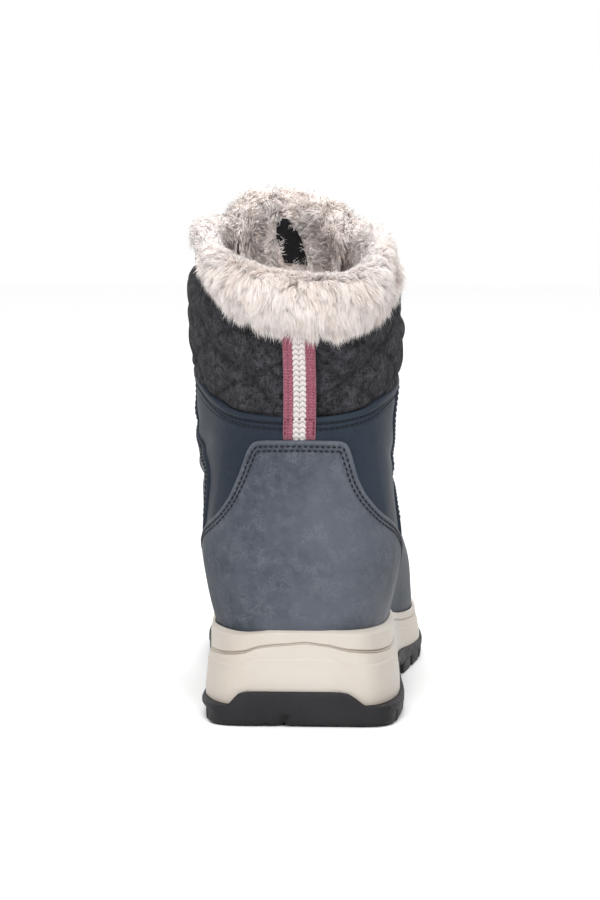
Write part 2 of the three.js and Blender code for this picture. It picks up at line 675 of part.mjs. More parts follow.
add("outsole", outsole(), "rubber");
add("midsole", midsole(), "foam");
add("insole", insole(), "fur");
add("upper", upper(), "smoothLeather");
add("heel_counter", heelCounter(), "waxedLeather");
add("toe_cap", toeCap(), "waxedLeather");
add("facing_outer", facing(1), "waxedLeather");
add("facing_inner", facing(-1), "waxedLeather");
add("tongue", tongue(), "smoothLeather");
add("fur_cuff", furCuff(), "fur");
add("pull_loop", pullLoop(), "webbing");
for (const [label, side] of [["outer", 1], ["inner", -1]])
  LACE_ROWS.forEach((_, row) => {
    if (row < HOOKS_FROM) add(`lace_ring_${label}_${row + 1}`, laceRing(side, row), "metal");
    else add(`lace_hook_${label}_${row + 1 - HOOKS_FROM}`, laceHook(side, row), "metal");
  });
add("lace_crossings", laceCrossings(), "lace");

boot.position.set(-MIDDLE.x, -MIDDLE.y, 0);

export default boot;
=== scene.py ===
# %% [markdown]
# # A lined snow boot
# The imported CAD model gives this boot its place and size: outsole, midsole, upper, overlays, tongue, cuff
# and lacing. Here each soft or curved piece is worked out again as a fine numpy surface on the same last,
# given its creases, seams and nap, and put in the same place.

# %% Load the frame
import math

import bpy
import numpy as np
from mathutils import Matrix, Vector


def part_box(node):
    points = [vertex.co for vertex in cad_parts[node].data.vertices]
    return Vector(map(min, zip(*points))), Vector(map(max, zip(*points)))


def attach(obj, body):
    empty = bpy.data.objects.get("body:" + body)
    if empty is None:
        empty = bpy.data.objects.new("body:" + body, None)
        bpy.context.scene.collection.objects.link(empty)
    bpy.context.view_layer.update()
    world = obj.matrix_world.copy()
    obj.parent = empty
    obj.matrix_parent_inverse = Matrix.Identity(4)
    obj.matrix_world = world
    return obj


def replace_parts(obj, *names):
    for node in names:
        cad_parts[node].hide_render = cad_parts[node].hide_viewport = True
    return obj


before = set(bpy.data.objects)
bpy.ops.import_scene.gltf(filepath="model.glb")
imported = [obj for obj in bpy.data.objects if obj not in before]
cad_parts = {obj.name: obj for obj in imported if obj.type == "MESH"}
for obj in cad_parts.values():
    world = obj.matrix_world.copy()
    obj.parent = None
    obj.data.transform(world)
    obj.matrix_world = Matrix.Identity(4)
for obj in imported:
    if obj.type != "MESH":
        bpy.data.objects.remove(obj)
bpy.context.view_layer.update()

MM = 0.001

# %% [markdown]
# ## The boot's own frame
# All shapes are worked out in millimetres from the floor point under the back of the heel, which is where a
# last is measured from. The outsole's box gives that point's y, and the pull loop, sewn on the heel's middle
# line, gives its x.

# %% The last's zero
loop_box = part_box("pull_loop")
BACK_OF_HEEL = np.array([(loop_box[0][0] + loop_box[1][0]) / 2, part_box("outsole")[0][1], 0.0])
print("back of the heel, mm:", np.round(BACK_OF_HEEL / MM, 1))

# %% [markdown]
# ## Camera, floor and lights
# The camera stands low behind the heel, a little to the outer side, with a long lens so that the boot's
# height and width are hardly foreshortened. A broad key from the upper left, a softer fill and a pale world
# make even studio light. The world is dimmer towards both sides, like a studio with a grey wall left and
# right, so that the boot's sides turn darker; it is white where it is looked at. A small lamp and a narrow
# spot above and behind the heel reach down into the collar, which the others leave in the dark.

# %% Camera
CAMERA = {"azimuth": 3.3, "distance": 1300, "height": 236, "aim_x": 0.8, "aim_z": 105.2, "lens": 139.6}


def in_frame(points):
    """Millimetres from the back of the heel to metres in the shared frame: scaled, then moved."""
    return np.asarray(points, float) * MM + BACK_OF_HEEL


def add_camera():
    """The camera looks from `distance` behind the heel at a point of the heel's back `aim_z` up."""
    data = bpy.data.cameras.new("camera")
    data.lens = CAMERA["lens"]
    data.sensor_width = 36
    data.clip_end = 20
    camera = bpy.data.objects.new("camera", data)
    bpy.context.collection.objects.link(camera)
    turn = math.radians(CAMERA["azimuth"])
    place = in_frame([
        CAMERA["distance"] * math.sin(turn), -CAMERA["distance"] * math.cos(turn), CAMERA["height"],
    ])
    aim = in_frame([CAMERA["aim_x"], 0, CAMERA["aim_z"]])
    camera.location = place
    camera.rotation_euler = Vector(aim - place).to_track_quat("-Z", "Y").to_euler()
    bpy.context.scene.camera = camera


add_camera()

# %% Floor and lights
# Strengths, and how far to the side a direction leans where the dimming starts and ends.
WORLD = {"middle": 1.15, "left": 0.4, "right": 0.25, "starts": 0.45, "ends": 0.9}
LIGHTS = [
    # name, power in watts, size, place, aim, all in metres
    ("key", 7.5, 1.0, (-0.6, -1.8, 1.2), (0, 0, 0.1)),
    ("fill", 0.5, 1.6, (1.1, -1.5, 0.9), (0, 0, 0.1)),
    ("top", 6, 1.2, (0.0, 0.2, 1.9), (0, 0, 0.1)),
    ("front", 3, 1.6, (0.3, 1.9, 0.9), (0, 0, 0.1)),
    ("collar", 3.4, 0.35, (0.05, -0.6, 0.85), (0, -0.07, 0.17)),
]
SPOT = ("inside", 32, 0.06, (0.03, -0.55, 0.8), (0.0, -0.035, 0.165))
SPOT_CONE = 8.5  # degrees


def add_floor():
    """A square sheet, 6 m wide, on the ground."""
    mesh = bpy.data.meshes.new("floor")
    half = 3.0
    corners = [(-half, -half, 0), (half, -half, 0), (half, half, 0), (-half, half, 0)]
    mesh.from_pydata(corners, [], [(0, 1, 2, 3)])
    floor = bpy.data.objects.new("floor", mesh)
    bpy.context.collection.objects.link(floor)
    material = bpy.data.materials.new("floor")
    material.use_nodes = True
    shader = material.node_tree.nodes["Principled BSDF"]
    shader.inputs["Base Color"].default_value = (0.98, 0.98, 0.98, 1)
    shader.inputs["Roughness"].default_value = 0.7
    shader.inputs["Specular IOR Level"].default_value = 0.2
    mesh.materials.append(material)


def add_world():
    """A pale world whose strength falls with the sideways part of the direction, but not for the camera."""
    world = bpy.data.worlds.new("studio")
    bpy.context.scene.world = world
    world.use_nodes = True
    nodes, links = world.node_tree.nodes, world.node_tree.links
    direction = nodes.new("ShaderNodeTexCoord").outputs["Generated"]
    split = nodes.new("ShaderNodeSeparateXYZ")
    links.new(direction, split.inputs[0])
    least = nodes.new("ShaderNodeMath")
    least.operation = "MINIMUM"
    for number, (side, sign) in enumerate((("left", -1), ("right", 1))):
        dim = nodes.new("ShaderNodeMapRange")
        dim.interpolation_type = "SMOOTHSTEP"
        values = (WORLD["starts"] * sign, WORLD["ends"] * sign, WORLD["middle"], WORLD[side])
        for key, value in enumerate(values, 1):
            dim.inputs[key].default_value = value
        links.new(split.outputs[0], dim.inputs[0])
        links.new(dim.outputs[0], least.inputs[number])
    seen = nodes.new("ShaderNodeMix")
    seen.inputs[3].default_value = 1.0
    links.new(nodes.new("ShaderNodeLightPath").outputs["Is Camera Ray"], seen.inputs[0])
    links.new(least.outputs[0], seen.inputs[2])
    background = nodes["Background"]
    background.inputs["Color"].default_value = (1, 1, 1, 1)
    links.new(seen.outputs[0], background.inputs["Strength"])


def add_lights():
    """Square area lights, and a soft-edged spot down into the collar, each turned to its aim."""
    for name, power, size, place, aim in [*LIGHTS, SPOT]:
        data = bpy.data.lights.new(name, "SPOT" if name == SPOT[0] else "AREA")
        data.energy = power
        if data.type == "SPOT":
            data.spot_size, data.spot_blend, data.shadow_soft_size = math.radians(SPOT_CONE), 1.0, size
        else:
            data.size = size
        light = bpy.data.objects.new(name, data)
        bpy.context.collection.objects.link(light)
        light.location = place
        light.rotation_euler = (Vector(aim) - Vector(place)).to_track_quat("-Z", "Y").to_euler()
    bpy.context.scene.view_settings.view_transform = "Standard"


add_floor()
add_world()
add_lights()
print("camera,", len(LIGHTS) + 1, "lights and a floor")

# %% [markdown]
# ## The last
# An upper is stretched over a last, so its skin is a stack of rings: each ring is an outline seen from above,
# tipped from heel to toe. A short table gives the rings, with the same columns as the CAD model, and smooth
# curves through the columns give every ring between.

# %% Curves through knots
def through(xs, ys, at):
    """Smooth curve through (xs, ys): cubic pieces whose slope at a knot is that between its neighbours.
    Each of ys may be an array that goes with `at`. Beyond the ends the curve is straight."""
    xs = np.asarray(xs, float)
    at = np.asarray(at, float)
    ys = np.stack([np.broadcast_to(np.asarray(y, float), at.shape) for y in ys])
    low = np.maximum(np.arange(len(xs)) - 1, 0)
    high = np.minimum(np.arange(len(xs)) + 1, len(xs) - 1)
    column = (slice(None),) + (None,) * at.ndim
    slopes = (ys[high] - ys[low]) / (xs[high] - xs[low])[column]
    i = np.clip(np.searchsorted(xs, at, side="right") - 1, 0, len(xs) - 2)

    def pick(stack, index):
        return np.take_along_axis(stack, index[None], 0)[0]

    y0, y1, m0, m1 = pick(ys, i), pick(ys, i + 1), pick(slopes, i), pick(slopes, i + 1)
    d = xs[i + 1] - xs[i]
    t = (at - xs[i]) / d
    s = 1 - t
    inside = s * s * (1 + 2 * t) * y0 + t * t * (1 + 2 * s) * y1 + s * t * d * (s * m0 - t * m1)
    before = ys[0] + slopes[0] * (at - xs[0])
    after = ys[-1] + slopes[-1] * (at - xs[-1])
    return np.where(at < xs[0], before, np.where(at > xs[-1], after, inside))


def smooth(knots):
    """A function that runs smoothly through knots of (x, y)."""
    xs, ys = zip(*knots)
    return lambda at: through(xs, ys, at)


# %% The last's rings
RING_COLUMNS = (
    "heel_y", "heel_z", "toe_y", "toe_z", "rise", "follow", "heel", "waist", "ball", "nose",
    "waist_lean", "ball_lean", "swing", "hump", "tilt", "square", "toe_square",
)
RINGS = [
    (8.5, 31, 254.5, 28, -6, 1, 31.5, 27.6, 39.6, 24.5, 5, 2.4, -8, 0, 0, 0.5, 0.7),
    (6.5, 40, 257, 38, 3, 1, 33.6, 29.4, 41.4, 26, 5, 2.4, -8, 0, 0, 0.5, 0.7),
    (4.8, 54, 255.5, 50, 14, 0.6, 36.2, 33, 40.2, 26, 3.5, 2, -8, 0, 0, 0.56, 0.72),
    (4.6, 68, 243, 61.5, 26, 0.25, 38, 35.5, 36.5, 22, 2, 1, -8, 0, 0, 0.64, 0.76),
    (5.6, 82, 217, 71, 40, 0, 36.3, 36.3, 33.5, 18.5, -0.5, 1, -8.5, 0, 0, 0.76, 0.8),
    (7.2, 95, 188, 85, 54, 0, 34.4, 37.6, 31.5, 17.5, -1.2, 0, -9, 0, 0, 0.84, 0.84),
    (8.6, 109, 162, 106, 70, 0, 32.8, 39, 32, 18, -1.2, 0, -10, 0, 0, 0.88, 0.88),
    (9, 125, 140, 131, 90, 0, 32.4, 40.6, 35, 20.5, 0.2, 0, -10.5, 2, 0.5, 0.9, 0.9),
    (7.5, 143, 126, 156, 110, 0, 32.6, 41.6, 38, 23, 0.3, 0, -11, 4, 2, 0.92, 0.92),
    (6, 163, 119, 182, 130, 0, 31, 38.8, 36.5, 22.5, 0, 0, -11, 6.5, 4, 0.92, 0.92),
]
COLLAR = len(RINGS) - 1
SOLE = dict(heel_y=0, toe_y=268, heel=38.6, waist=34.5, ball=45.4, nose=31.5, waist_lean=4.4, ball_lean=2.4,
            swing=-8, square=0.2, toe_square=0.8)
WALL = 4.5

sole_line = smooth([(0, 36.2), (22, 35.6), (72, 34.8), (104, 29.8), (138, 24), (172, 22), (205, 23.6),
                    (235, 28), (262, 34)])
rubber_line = smooth([(0, 8), (66, 8), (90, 10.6), (118, 11), (150, 8.8), (185, 8.4), (215, 11.2),
                      (245, 17.5), (268, 25)])


def ring_at(v):
    """Every column of the table at height v, counted in rows."""
    rows = range(len(RINGS))
    return {name: through(rows, [RINGS[r][c] for r in rows], v) for c, name in enumerate(RING_COLUMNS)}


WIDTH_SHARES = (0.15, 0.42, 0.68, 0.92)  # of the length, at the heel, waist, ball and nose


def half_width(row, f, side):
    """Half width at a share f of the length: a rounded or squared oval times a curve through four widths."""
    def end(share):
        power = row["square"] + (row["toe_square"] - row["square"]) * share
        return np.power(2 * np.sqrt(np.maximum(share * (1 - share), 0)), power)

    widths = (row["heel"], row["waist"] + side * row["waist_lean"], row["ball"] + side * row["ball_lean"],
              row["nose"])
    swell = [width / end(share) for width, share in zip(widths, WIDTH_SHARES)]
    swell = through(WIDTH_SHARES, swell, np.clip(f, 0.1, 0.95))
    return end(f) * swell


def outline(row, angle):
    """x and y of an outline at an angle from its back, whose cosine gives the share of its length."""
    f = (1 - np.cos(angle)) / 2
    side = np.where(np.sin(angle) < 0, -1.0, 1.0)
    x = row["swing"] * f + side * half_width(row, f, side)
    return x, row["heel_y"] + (row["toe_y"] - row["heel_y"]) * f


def skin_point(angle, v):
    """The upper's outer face: an outline at height v, set to a height that runs from its heel to its toe."""
    angle, v = np.broadcast_arrays(np.asarray(angle, float), np.asarray(v, float))
    row = ring_at(v)
    x, y = outline(row, angle)
    f = (1 - np.cos(angle)) / 2
    level = row["heel_z"] + (row["toe_z"] - row["heel_z"]) * f
    side = np.sin(angle)
    z = level * (1 - row["follow"]) + (sole_line(y) + row["rise"]) * row["follow"]
    return np.stack([x, y, z + row["hump"] * side * side - row["tilt"] * side], -1)


def unit(vectors):
    """The same directions with a length of one."""
    return vectors / np.maximum(np.linalg.norm(vectors, axis=-1, keepdims=True), 1e-9)


def skin_normal(angle, v):
    """Outward normal of the skin, from the difference of near points along and up."""
    e = 0.02
    along = skin_point(angle + e, v) - skin_point(angle - e, v)
    up = skin_point(angle, v + e) - skin_point(angle, v - e)
    return unit(np.cross(along, up))


def skin(angle, v, out=0.0):
    """The skin moved outwards by `out` millimetres."""
    angle, v, out = np.broadcast_arrays(*(np.asarray(q, float) for q in (angle, v, out)))
    return skin_point(angle, v) + skin_normal(angle, v) * out[..., None]


print("skin at the back of the collar, mm:", np.round(skin(0.0, COLLAR), 1))

# %% [markdown]
# ## Meshes from grids
# Every piece is a grid of points: rows one way, columns the other. A slab is two such grids, an outer face
# and an inner one, sewn together round their rim, so that it is a closed solid with a real thickness.

# %% Grids, slabs and pieces
def grid_quads(rows, columns, close_rows=False, close_columns=False):
    """Quads of a grid whose point (r, c) has the number r * columns + c."""
    r = np.arange(rows if close_rows else rows - 1)
    c = np.arange(columns if close_columns else columns - 1)
    r, c = np.meshgrid(r, c, indexing="ij")
    r1, c1 = (r + 1) % rows, (c + 1) % columns
    corners = [r * columns + c, r * columns + c1, r1 * columns + c1, r1 * columns + c]
    return np.stack(corners, -1).reshape(-1, 4)


def slab(outer, inner):
    """Points and quads of a closed slab between two grids of the same size: the outer face, the inner face
    turned over, and a strip along each open edge. Rows run up and columns run along, seen from outside."""
    rows, columns = outer.shape[:2]
    points = np.concatenate([outer.reshape(-1, 3), inner.reshape(-1, 3)])
    face = grid_quads(rows, columns)
    number = np.arange(rows * columns).reshape(rows, columns)

    def strip(edge):
        a, b = edge[:-1], edge[1:]
        return np.stack([a, a + rows * columns, b + rows * columns, b], -1)

    strips = [strip(edge) for edge in (number[::-1, 0], number[:, -1], number[0], number[-1][::-1])]
    return points, np.concatenate([face, face[:, ::-1] + rows * columns, *strips])


def twice(values):
    """A slab's vertex values: those of its outer face, and the same again for its inner face."""
    flat = np.asarray(values, float).reshape(-1)
    return np.concatenate([flat, flat])


def make_piece(name, points, faces, finish, values=None, uv=None, sharp=40, normals=None):
    """A mesh object at the origin, from points in millimetres and arrays of faces. `values` are named
    numbers for the vertices, which materials read, `uv` has a pair for each corner, and `sharp` is the angle
    past which an edge stays hard. `normals` are directions for the vertices to be shaded by."""
    faces = faces if isinstance(faces, list) else [faces]
    corners = np.concatenate([f.ravel() for f in faces]).astype(np.int32)
    sizes = np.concatenate([np.full(len(f), f.shape[1]) for f in faces])
    starts = np.concatenate([[0], np.cumsum(sizes)[:-1]]).astype(np.int32)
    mesh = bpy.data.meshes.new(name)
    mesh.vertices.add(len(points))
    mesh.vertices.foreach_set("co", in_frame(points).astype(np.float32).ravel())
    mesh.loops.add(len(corners))
    mesh.loops.foreach_set("vertex_index", corners)
    mesh.polygons.add(len(sizes))
    mesh.polygons.foreach_set("loop_start", starts)
    mesh.update(calc_edges=True)
    mesh.polygons.foreach_set("use_smooth", np.ones(len(sizes), bool))
    for key, numbers in (values or {}).items():
        layer = mesh.attributes.new(key, "FLOAT", "POINT")
        layer.data.foreach_set("value", np.asarray(numbers, np.float32).ravel())
    if uv is not None:
        layer = mesh.uv_layers.new(name="UVMap")
        layer.data.foreach_set("uv", np.asarray(uv, np.float32).ravel())
    if sharp:
        mesh.set_sharp_from_angle(angle=math.radians(sharp))
    if normals is not None:
        mesh.normals_split_custom_set_from_vertices(normals.astype(np.float32))
    mesh.materials.append(bpy.data.materials[finish])
    piece = bpy.data.objects.new(name, mesh)
    bpy.context.collection.objects.link(piece)
    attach(piece, "root")
    print(f"{name}: {int((sizes - 2).sum())} triangles, {finish}")
    return piece


def merged(parts):
    """Several (points, list of face arrays) as one, each with its numbers moved past those before it."""
    firsts = np.concatenate([[0], np.cumsum([len(p) for p, _ in parts])[:-1]])
    points = np.concatenate([p for p, _ in parts])
    kinds = zip(*([f + n for f in faces] for (_, faces), n in zip(parts, firsts)))
    return points, [np.concatenate(kind) for kind in kinds]


# %% Paths, offsets and distances on the skin
def lengths_along(points):
    """Distance along a path from its first point to each of its points."""
    steps = np.linalg.norm(np.diff(points, axis=0), axis=1)
    return np.concatenate([[0], np.cumsum(steps)])


def resample(values, distance, at):
    """Each column of `values`, known at `distance`, read at other distances along the same path."""
    return np.stack([np.interp(at, distance, column) for column in np.asarray(values, float).T], -1)


def inset(angle, v, amount, side=1):
    """A path on the skin moved sideways by `amount` millimetres, to the left of its direction seen from
    outside where side is 1. The wanted step in space is solved for the small changes of angle and v."""
    e = 0.01
    by_angle = (skin_point(angle + e, v) - skin_point(angle - e, v)) / (2 * e)
    by_v = (skin_point(angle, v + e) - skin_point(angle, v - e)) / (2 * e)
    tangent = unit(np.gradient(skin_point(angle, v), axis=0))
    normal = unit(np.cross(by_angle, by_v))
    step = np.cross(normal, tangent) * amount * side
    aa, ab, bb = (by_angle * by_angle).sum(-1), (by_angle * by_v).sum(-1), (by_v * by_v).sum(-1)
    pa, pb = (by_angle * step).sum(-1), (by_v * step).sum(-1)
    det = aa * bb - ab * ab
    return angle + (pa * bb - pb * ab) / det, v + (pb * aa - pa * ab) / det


def distance_to_path(points, path, batch=4000):
    """Distance from each point to the nearest point of a finely sampled path."""
    flat = points.reshape(-1, 3)
    nearest = np.concatenate([
        np.sqrt(((flat[i:i + batch, None] - path[None]) ** 2).sum(-1).min(1))
        for i in range(0, len(flat), batch)
    ])
    return nearest.reshape(points.shape[:-1])


def angle_at(v, side, width):
    """The angle at which the ring at v is `width` from its middle, ahead of its widest place, by halving."""
    v, width = np.broadcast_arrays(np.asarray(v, float), np.asarray(width, float))
    near, far = np.full(v.shape, math.pi * 0.55), np.full(v.shape, math.pi)
    row = ring_at(v)
    for _ in range(26):
        middle = (near + far) / 2
        wide = half_width(row, (1 - np.cos(middle)) / 2, side) > width
        near, far = np.where(wide, middle, near), np.where(wide, far, middle)
    return side * (near + far) / 2


def ease(x, low, high):
    """0 below low, 1 above high, and a smooth slope between."""
    t = np.clip((np.asarray(x, float) - low) / (high - low), 0, 1)
    return t * t * (3 - 2 * t)


def bump_at(x, centre, width):
    """A rounded bump one high: the bell curve of the distance from its centre in widths."""
    return np.exp(-(((np.asarray(x, float) - centre) / width) ** 2))


# %% Stitches and cords
def stitch_row(path, normal, pitch=2.2, length=1.7, radius=0.33, height=0.16, sides=5):
    """A row of stitches: every `pitch` along a path, one thread `length` long, a spindle with a few sides
    that dips into the leather at both ends."""
    distance = lengths_along(path)
    count = max(int(distance[-1] / pitch), 1)
    middles = (np.arange(count) + 0.5) * distance[-1] / count
    share = np.array([-0.5, -0.36, 0.0, 0.36, 0.5])
    at = (middles[:, None] + share * length).ravel()
    spine = resample(path, distance, at).reshape(count, len(share), 3)
    out = unit(resample(normal, distance, at)).reshape(count, len(share), 3)
    along = unit(np.gradient(spine, axis=1))
    across = np.cross(along, out)
    spine = spine + out * (height - 0.5 * (2 * np.abs(share)) ** 4)[None, :, None]
    swell = radius * np.array([0.4, 0.9, 1, 0.9, 0.4])
    turn = np.arange(sides) * 2 * math.pi / sides
    ring = (across[:, :, None] * np.cos(turn)[:, None] + out[:, :, None] * np.sin(turn)[:, None])
    points = (spine[:, :, None] + ring * swell[None, :, None, None]).reshape(-1, 3)
    per = len(share) * sides
    one = grid_quads(len(share), sides, close_columns=True)[:, ::-1]
    return points, [(one[None] + (np.arange(count) * per)[:, None, None]).reshape(-1, 4)]


def spline(points, count):
    """A smooth path through a few points, evenly read: one smooth curve for each coordinate against
    the distance between the points."""
    points = np.asarray(points, float)
    distance = lengths_along(points)
    at = np.linspace(0, distance[-1], count)
    return np.stack([through(distance, points[:, k], at) for k in range(3)], -1)


def capped_quads(steps, sides):
    """Quads of a tube with an even number of sides, and of its two flat ends."""
    k = np.arange(sides // 2 - 1)
    cap = np.stack([k, k + 1, sides - 2 - k, sides - 1 - k], -1)
    wall = grid_quads(steps, sides, close_columns=True)
    return np.concatenate([wall, cap[:, ::-1], cap + (steps - 1) * sides])


def tube(path, radius, sides, flat, out):
    """A cord along a path: a ring of points across its direction at each step, closed by a flat end.
    `out` are directions for its thin way, squeezed by `flat`."""
    along = unit(np.gradient(path, axis=0))
    across = unit(np.cross(along, out))
    out = np.cross(across, along)
    turn = np.arange(sides) * 2 * math.pi / sides
    radius = np.broadcast_to(np.asarray(radius, float), (len(path),))
    ring = across[:, None] * np.cos(turn)[:, None] + flat * out[:, None] * np.sin(turn)[:, None]
    points = (path[:, None] + ring * radius[:, None, None]).reshape(-1, 3)
    return points, capped_quads(len(path), sides)

# %% [markdown]
# ## Finishes
# A finish is a Principled shader fed by small patterns. The patterns that several finishes share are node
# groups, built once: leather grain, the pale hair-lines and cloudy wear of waxed leather, and the loose
# fibres of cloth. They read Object coordinates, so a pattern keeps its size on every piece.


STUDIO = 0.58  # pale paper in this light is brighter than white by the rest


def node(tree, kind, values=None, **settings):
    """A new node with its settings, and its sockets set: a socket is linked, anything else is its value."""
    made = tree.nodes.new(kind)
    for key, value in settings.items():
        setattr(made, key, value)
    for key, value in (values or {}).items():
        if isinstance(value, bpy.types.NodeSocket):
            tree.links.new(value, made.inputs[key])
        else:
            made.inputs[key].default_value = value
    return made


def colour(red, green, blue):
    """An sRGB colour, 0 to 255, as the linear one a shader takes, lowered by the studio's extra light."""
    srgb = np.array([red, green, blue]) / 255
    linear = STUDIO * np.where(srgb <= 0.04045, srgb / 12.92, ((srgb + 0.055) / 1.055) ** 2.4)
    return (*[float(c) for c in linear], 1.0)


def mixed(tree, factor, a, b):
    """The colour between a and b."""
    return node(tree, "ShaderNodeMix", {0: factor, 6: a, 7: b}, data_type="RGBA").outputs[2]


def tinted(tree, base, amount, share, tint):
    """A colour moved towards a tint by a share of a varying amount."""
    return mixed(tree, maths(tree, "MULTIPLY", amount, share), base, tint)


def maths(tree, operation, a, b=0.0, clamp=False):
    """One sum of two numbers."""
    return node(tree, "ShaderNodeMath", {0: a, 1: b}, operation=operation, use_clamp=clamp).outputs[0]


def ramp(tree, value, low, high, to_low=0.0, to_high=1.0):
    """A number moved from one range to another, eased and held at its ends."""
    return node(tree, "ShaderNodeMapRange", {0: value, 1: low, 2: high, 3: to_low, 4: to_high},
                interpolation_type="SMOOTHSTEP").outputs[0]


def noise(tree, where, scale, detail=3.0, roughness=0.5, distortion=0.0):
    """Cloudy noise, `scale` clouds to the metre."""
    values = {"Vector": where, "Scale": scale, "Detail": detail}
    values.update({"Roughness": roughness, "Distortion": distortion})
    return node(tree, "ShaderNodeTexNoise", values).outputs["Fac"]


def attribute(tree, name):
    """A piece's own vertex number."""
    return node(tree, "ShaderNodeAttribute", attribute_name=name).outputs["Fac"]


def object_place(tree):
    """Object coordinates."""
    return node(tree, "ShaderNodeTexCoord").outputs["Object"]


def new_group(name, inputs, outputs):
    """An empty node group with named float or vector inputs and float outputs."""
    tree = bpy.data.node_groups.new(name, "ShaderNodeTree")
    for key, value in inputs.items():
        kind = "NodeSocketVector" if value is None else "NodeSocketFloat"
        socket = tree.interface.new_socket(key, in_out="INPUT", socket_type=kind)
        if value is not None:
            socket.default_value = value
    for key in outputs:
        tree.interface.new_socket(key, in_out="OUTPUT", socket_type="NodeSocketFloat")
    source = tree.nodes.new("NodeGroupInput")
    target = tree.nodes.new("NodeGroupOutput")
    return tree, source.outputs, lambda key, socket: tree.links.new(socket, target.inputs[key])


def use_group(tree, name, values):
    """A node group placed in a material."""
    return node(tree, "ShaderNodeGroup", values, node_tree=bpy.data.node_groups[name]).outputs


def new_finish(name, roughness, **fixed):
    """A material with its shader, and the even settings on the shader's own sockets."""
    material = bpy.data.materials.new(name)
    material.use_nodes = True
    tree = material.node_tree
    shader = tree.nodes["Principled BSDF"]
    shader.inputs["Roughness"].default_value = roughness
    for key, value in fixed.items():
        shader.inputs[key.replace("_", " ")].default_value = value
    return tree, shader


def feed(tree, shader, **sockets):
    """Links what varies over the surface to the shader's sockets."""
    for key, value in sockets.items():
        tree.links.new(value, shader.inputs[key.replace("_", " ")])


def raise_surface(tree, shader, height, depth):
    """Bump: the height, 0 to 1, raised by `depth` metres."""
    bump = node(tree, "ShaderNodeBump", {"Height": height, "Distance": depth, "Strength": 1.0})
    feed(tree, shader, Normal=bump.outputs[0])


# %% Shared patterns
def build_grain():
    """Leather grain: flat cells with sunken borders, uneven, over a little fine noise."""
    tree, given, give = new_group("grain", {"Vector": None, "Scale": 900.0}, ["Height"])
    warp = noise(tree, given["Vector"], 300.0, 2.0)
    cells = node(tree, "ShaderNodeTexVoronoi", {"Vector": given["Vector"], "Scale": given["Scale"]},
                 feature="DISTANCE_TO_EDGE").outputs["Distance"]
    pebble = ramp(tree, cells, 0.0, 0.22)
    uneven = maths(tree, "MULTIPLY", pebble, ramp(tree, warp, 0.3, 0.7, 0.45, 1.0))
    fine = noise(tree, given["Vector"], 2600.0, 2.0)
    coarse = maths(tree, "MULTIPLY", uneven, 0.8)
    give("Height", maths(tree, "ADD", coarse, maths(tree, "MULTIPLY", fine, 0.2)))


def build_hairlines():
    """Hair-lines: thin lines where a twisted noise passes its middle value, broken up by another noise."""
    tree, given, give = new_group("hairlines", {"Vector": None, "Scale": 60.0, "Width": 0.012}, ["Lines"])
    field = noise(tree, given["Vector"], given["Scale"], 3.0, 0.6, 1.6)
    off = maths(tree, "ABSOLUTE", maths(tree, "SUBTRACT", field, 0.5))
    line = maths(tree, "SUBTRACT", 1.0, maths(tree, "DIVIDE", off, given["Width"]), clamp=True)
    broken = ramp(tree, noise(tree, given["Vector"], 160.0, 2.0), 0.42, 0.62)
    give("Lines", maths(tree, "MULTIPLY", line, broken))


def build_wear():
    """Cloudy wear: two sizes of soft noise added up and spread over 0 to 1."""
    tree, given, give = new_group("wear", {"Vector": None, "Scale": 25.0}, ["Cloud", "Speckle"])
    broad = noise(tree, given["Vector"], given["Scale"], 4.0, 0.55, 0.4)
    small = noise(tree, given["Vector"], 420.0, 3.0, 0.7)
    give("Cloud", ramp(tree, broad, 0.34, 0.68))
    give("Speckle", ramp(tree, small, 0.3, 0.7))


def build_fibres():
    """Loose fibres: noise pulled out one way and then the other, so that it reads as short crossing hairs."""
    tree, given, give = new_group("fibres", {"Vector": None, "Scale": 700.0}, ["Height", "Melange"])
    strands = []
    for turn, stretch in ((0.6, (1.0, 0.4, 0.5)), (-0.9, (0.45, 1.0, 0.4)), (2.1, (0.5, 0.42, 1.0))):
        values = {"Vector": given["Vector"], "Rotation": (turn, turn * 0.7, turn), "Scale": stretch}
        place = node(tree, "ShaderNodeMapping", values).outputs[0]
        strands.append(noise(tree, place, given["Scale"], 2.0, 0.6))
    height = maths(tree, "MAXIMUM", maths(tree, "MAXIMUM", strands[0], strands[1]), strands[2])
    give("Height", ramp(tree, height, 0.4, 0.75))
    broad = noise(tree, given["Vector"], 330.0, 4.0, 0.75)
    both = maths(tree, "ADD", maths(tree, "MULTIPLY", broad, 0.55), maths(tree, "MULTIPLY", height, 0.45))
    give("Melange", ramp(tree, both, 0.4, 0.66))


build_grain()
build_hairlines()
build_wear()
build_fibres()
print("shared patterns:", [group.name for group in bpy.data.node_groups])


# %% Leathers
def navy_leather():
    """Smooth, lightly coated navy hide with fine grain; stitch lines sink, and are darkened a little with
    painted shade.
    """
    tree, shader = new_finish("navy leather", 0.5, Specular_IOR_Level=0.06)
    place = object_place(tree)
    wear = use_group(tree, "wear", {"Vector": place, "Scale": 22.0})
    base = mixed(tree, wear["Cloud"], colour(50, 59, 71), colour(62, 72, 85))
    base = tinted(tree, base, wear["Speckle"], 0.18, colour(72, 80, 92))
    groove_shade = attribute(tree, "groove_shade")
    # painted shade: the sunk stitch grooves darkened a little
    base = tinted(tree, base, groove_shade, 0.08, colour(26, 30, 37))
    feed(tree, shader, Base_Color=base, Roughness=ramp(tree, wear["Cloud"], 0.0, 1.0, 0.42, 0.52))
    grain = use_group(tree, "grain", {"Vector": place, "Scale": 1100.0})["Height"]
    height = maths(tree, "SUBTRACT", maths(tree, "MULTIPLY", grain, 0.2), maths(tree, "MULTIPLY", groove_shade, 0.5))
    raise_surface(tree, shader, height, 0.00035)


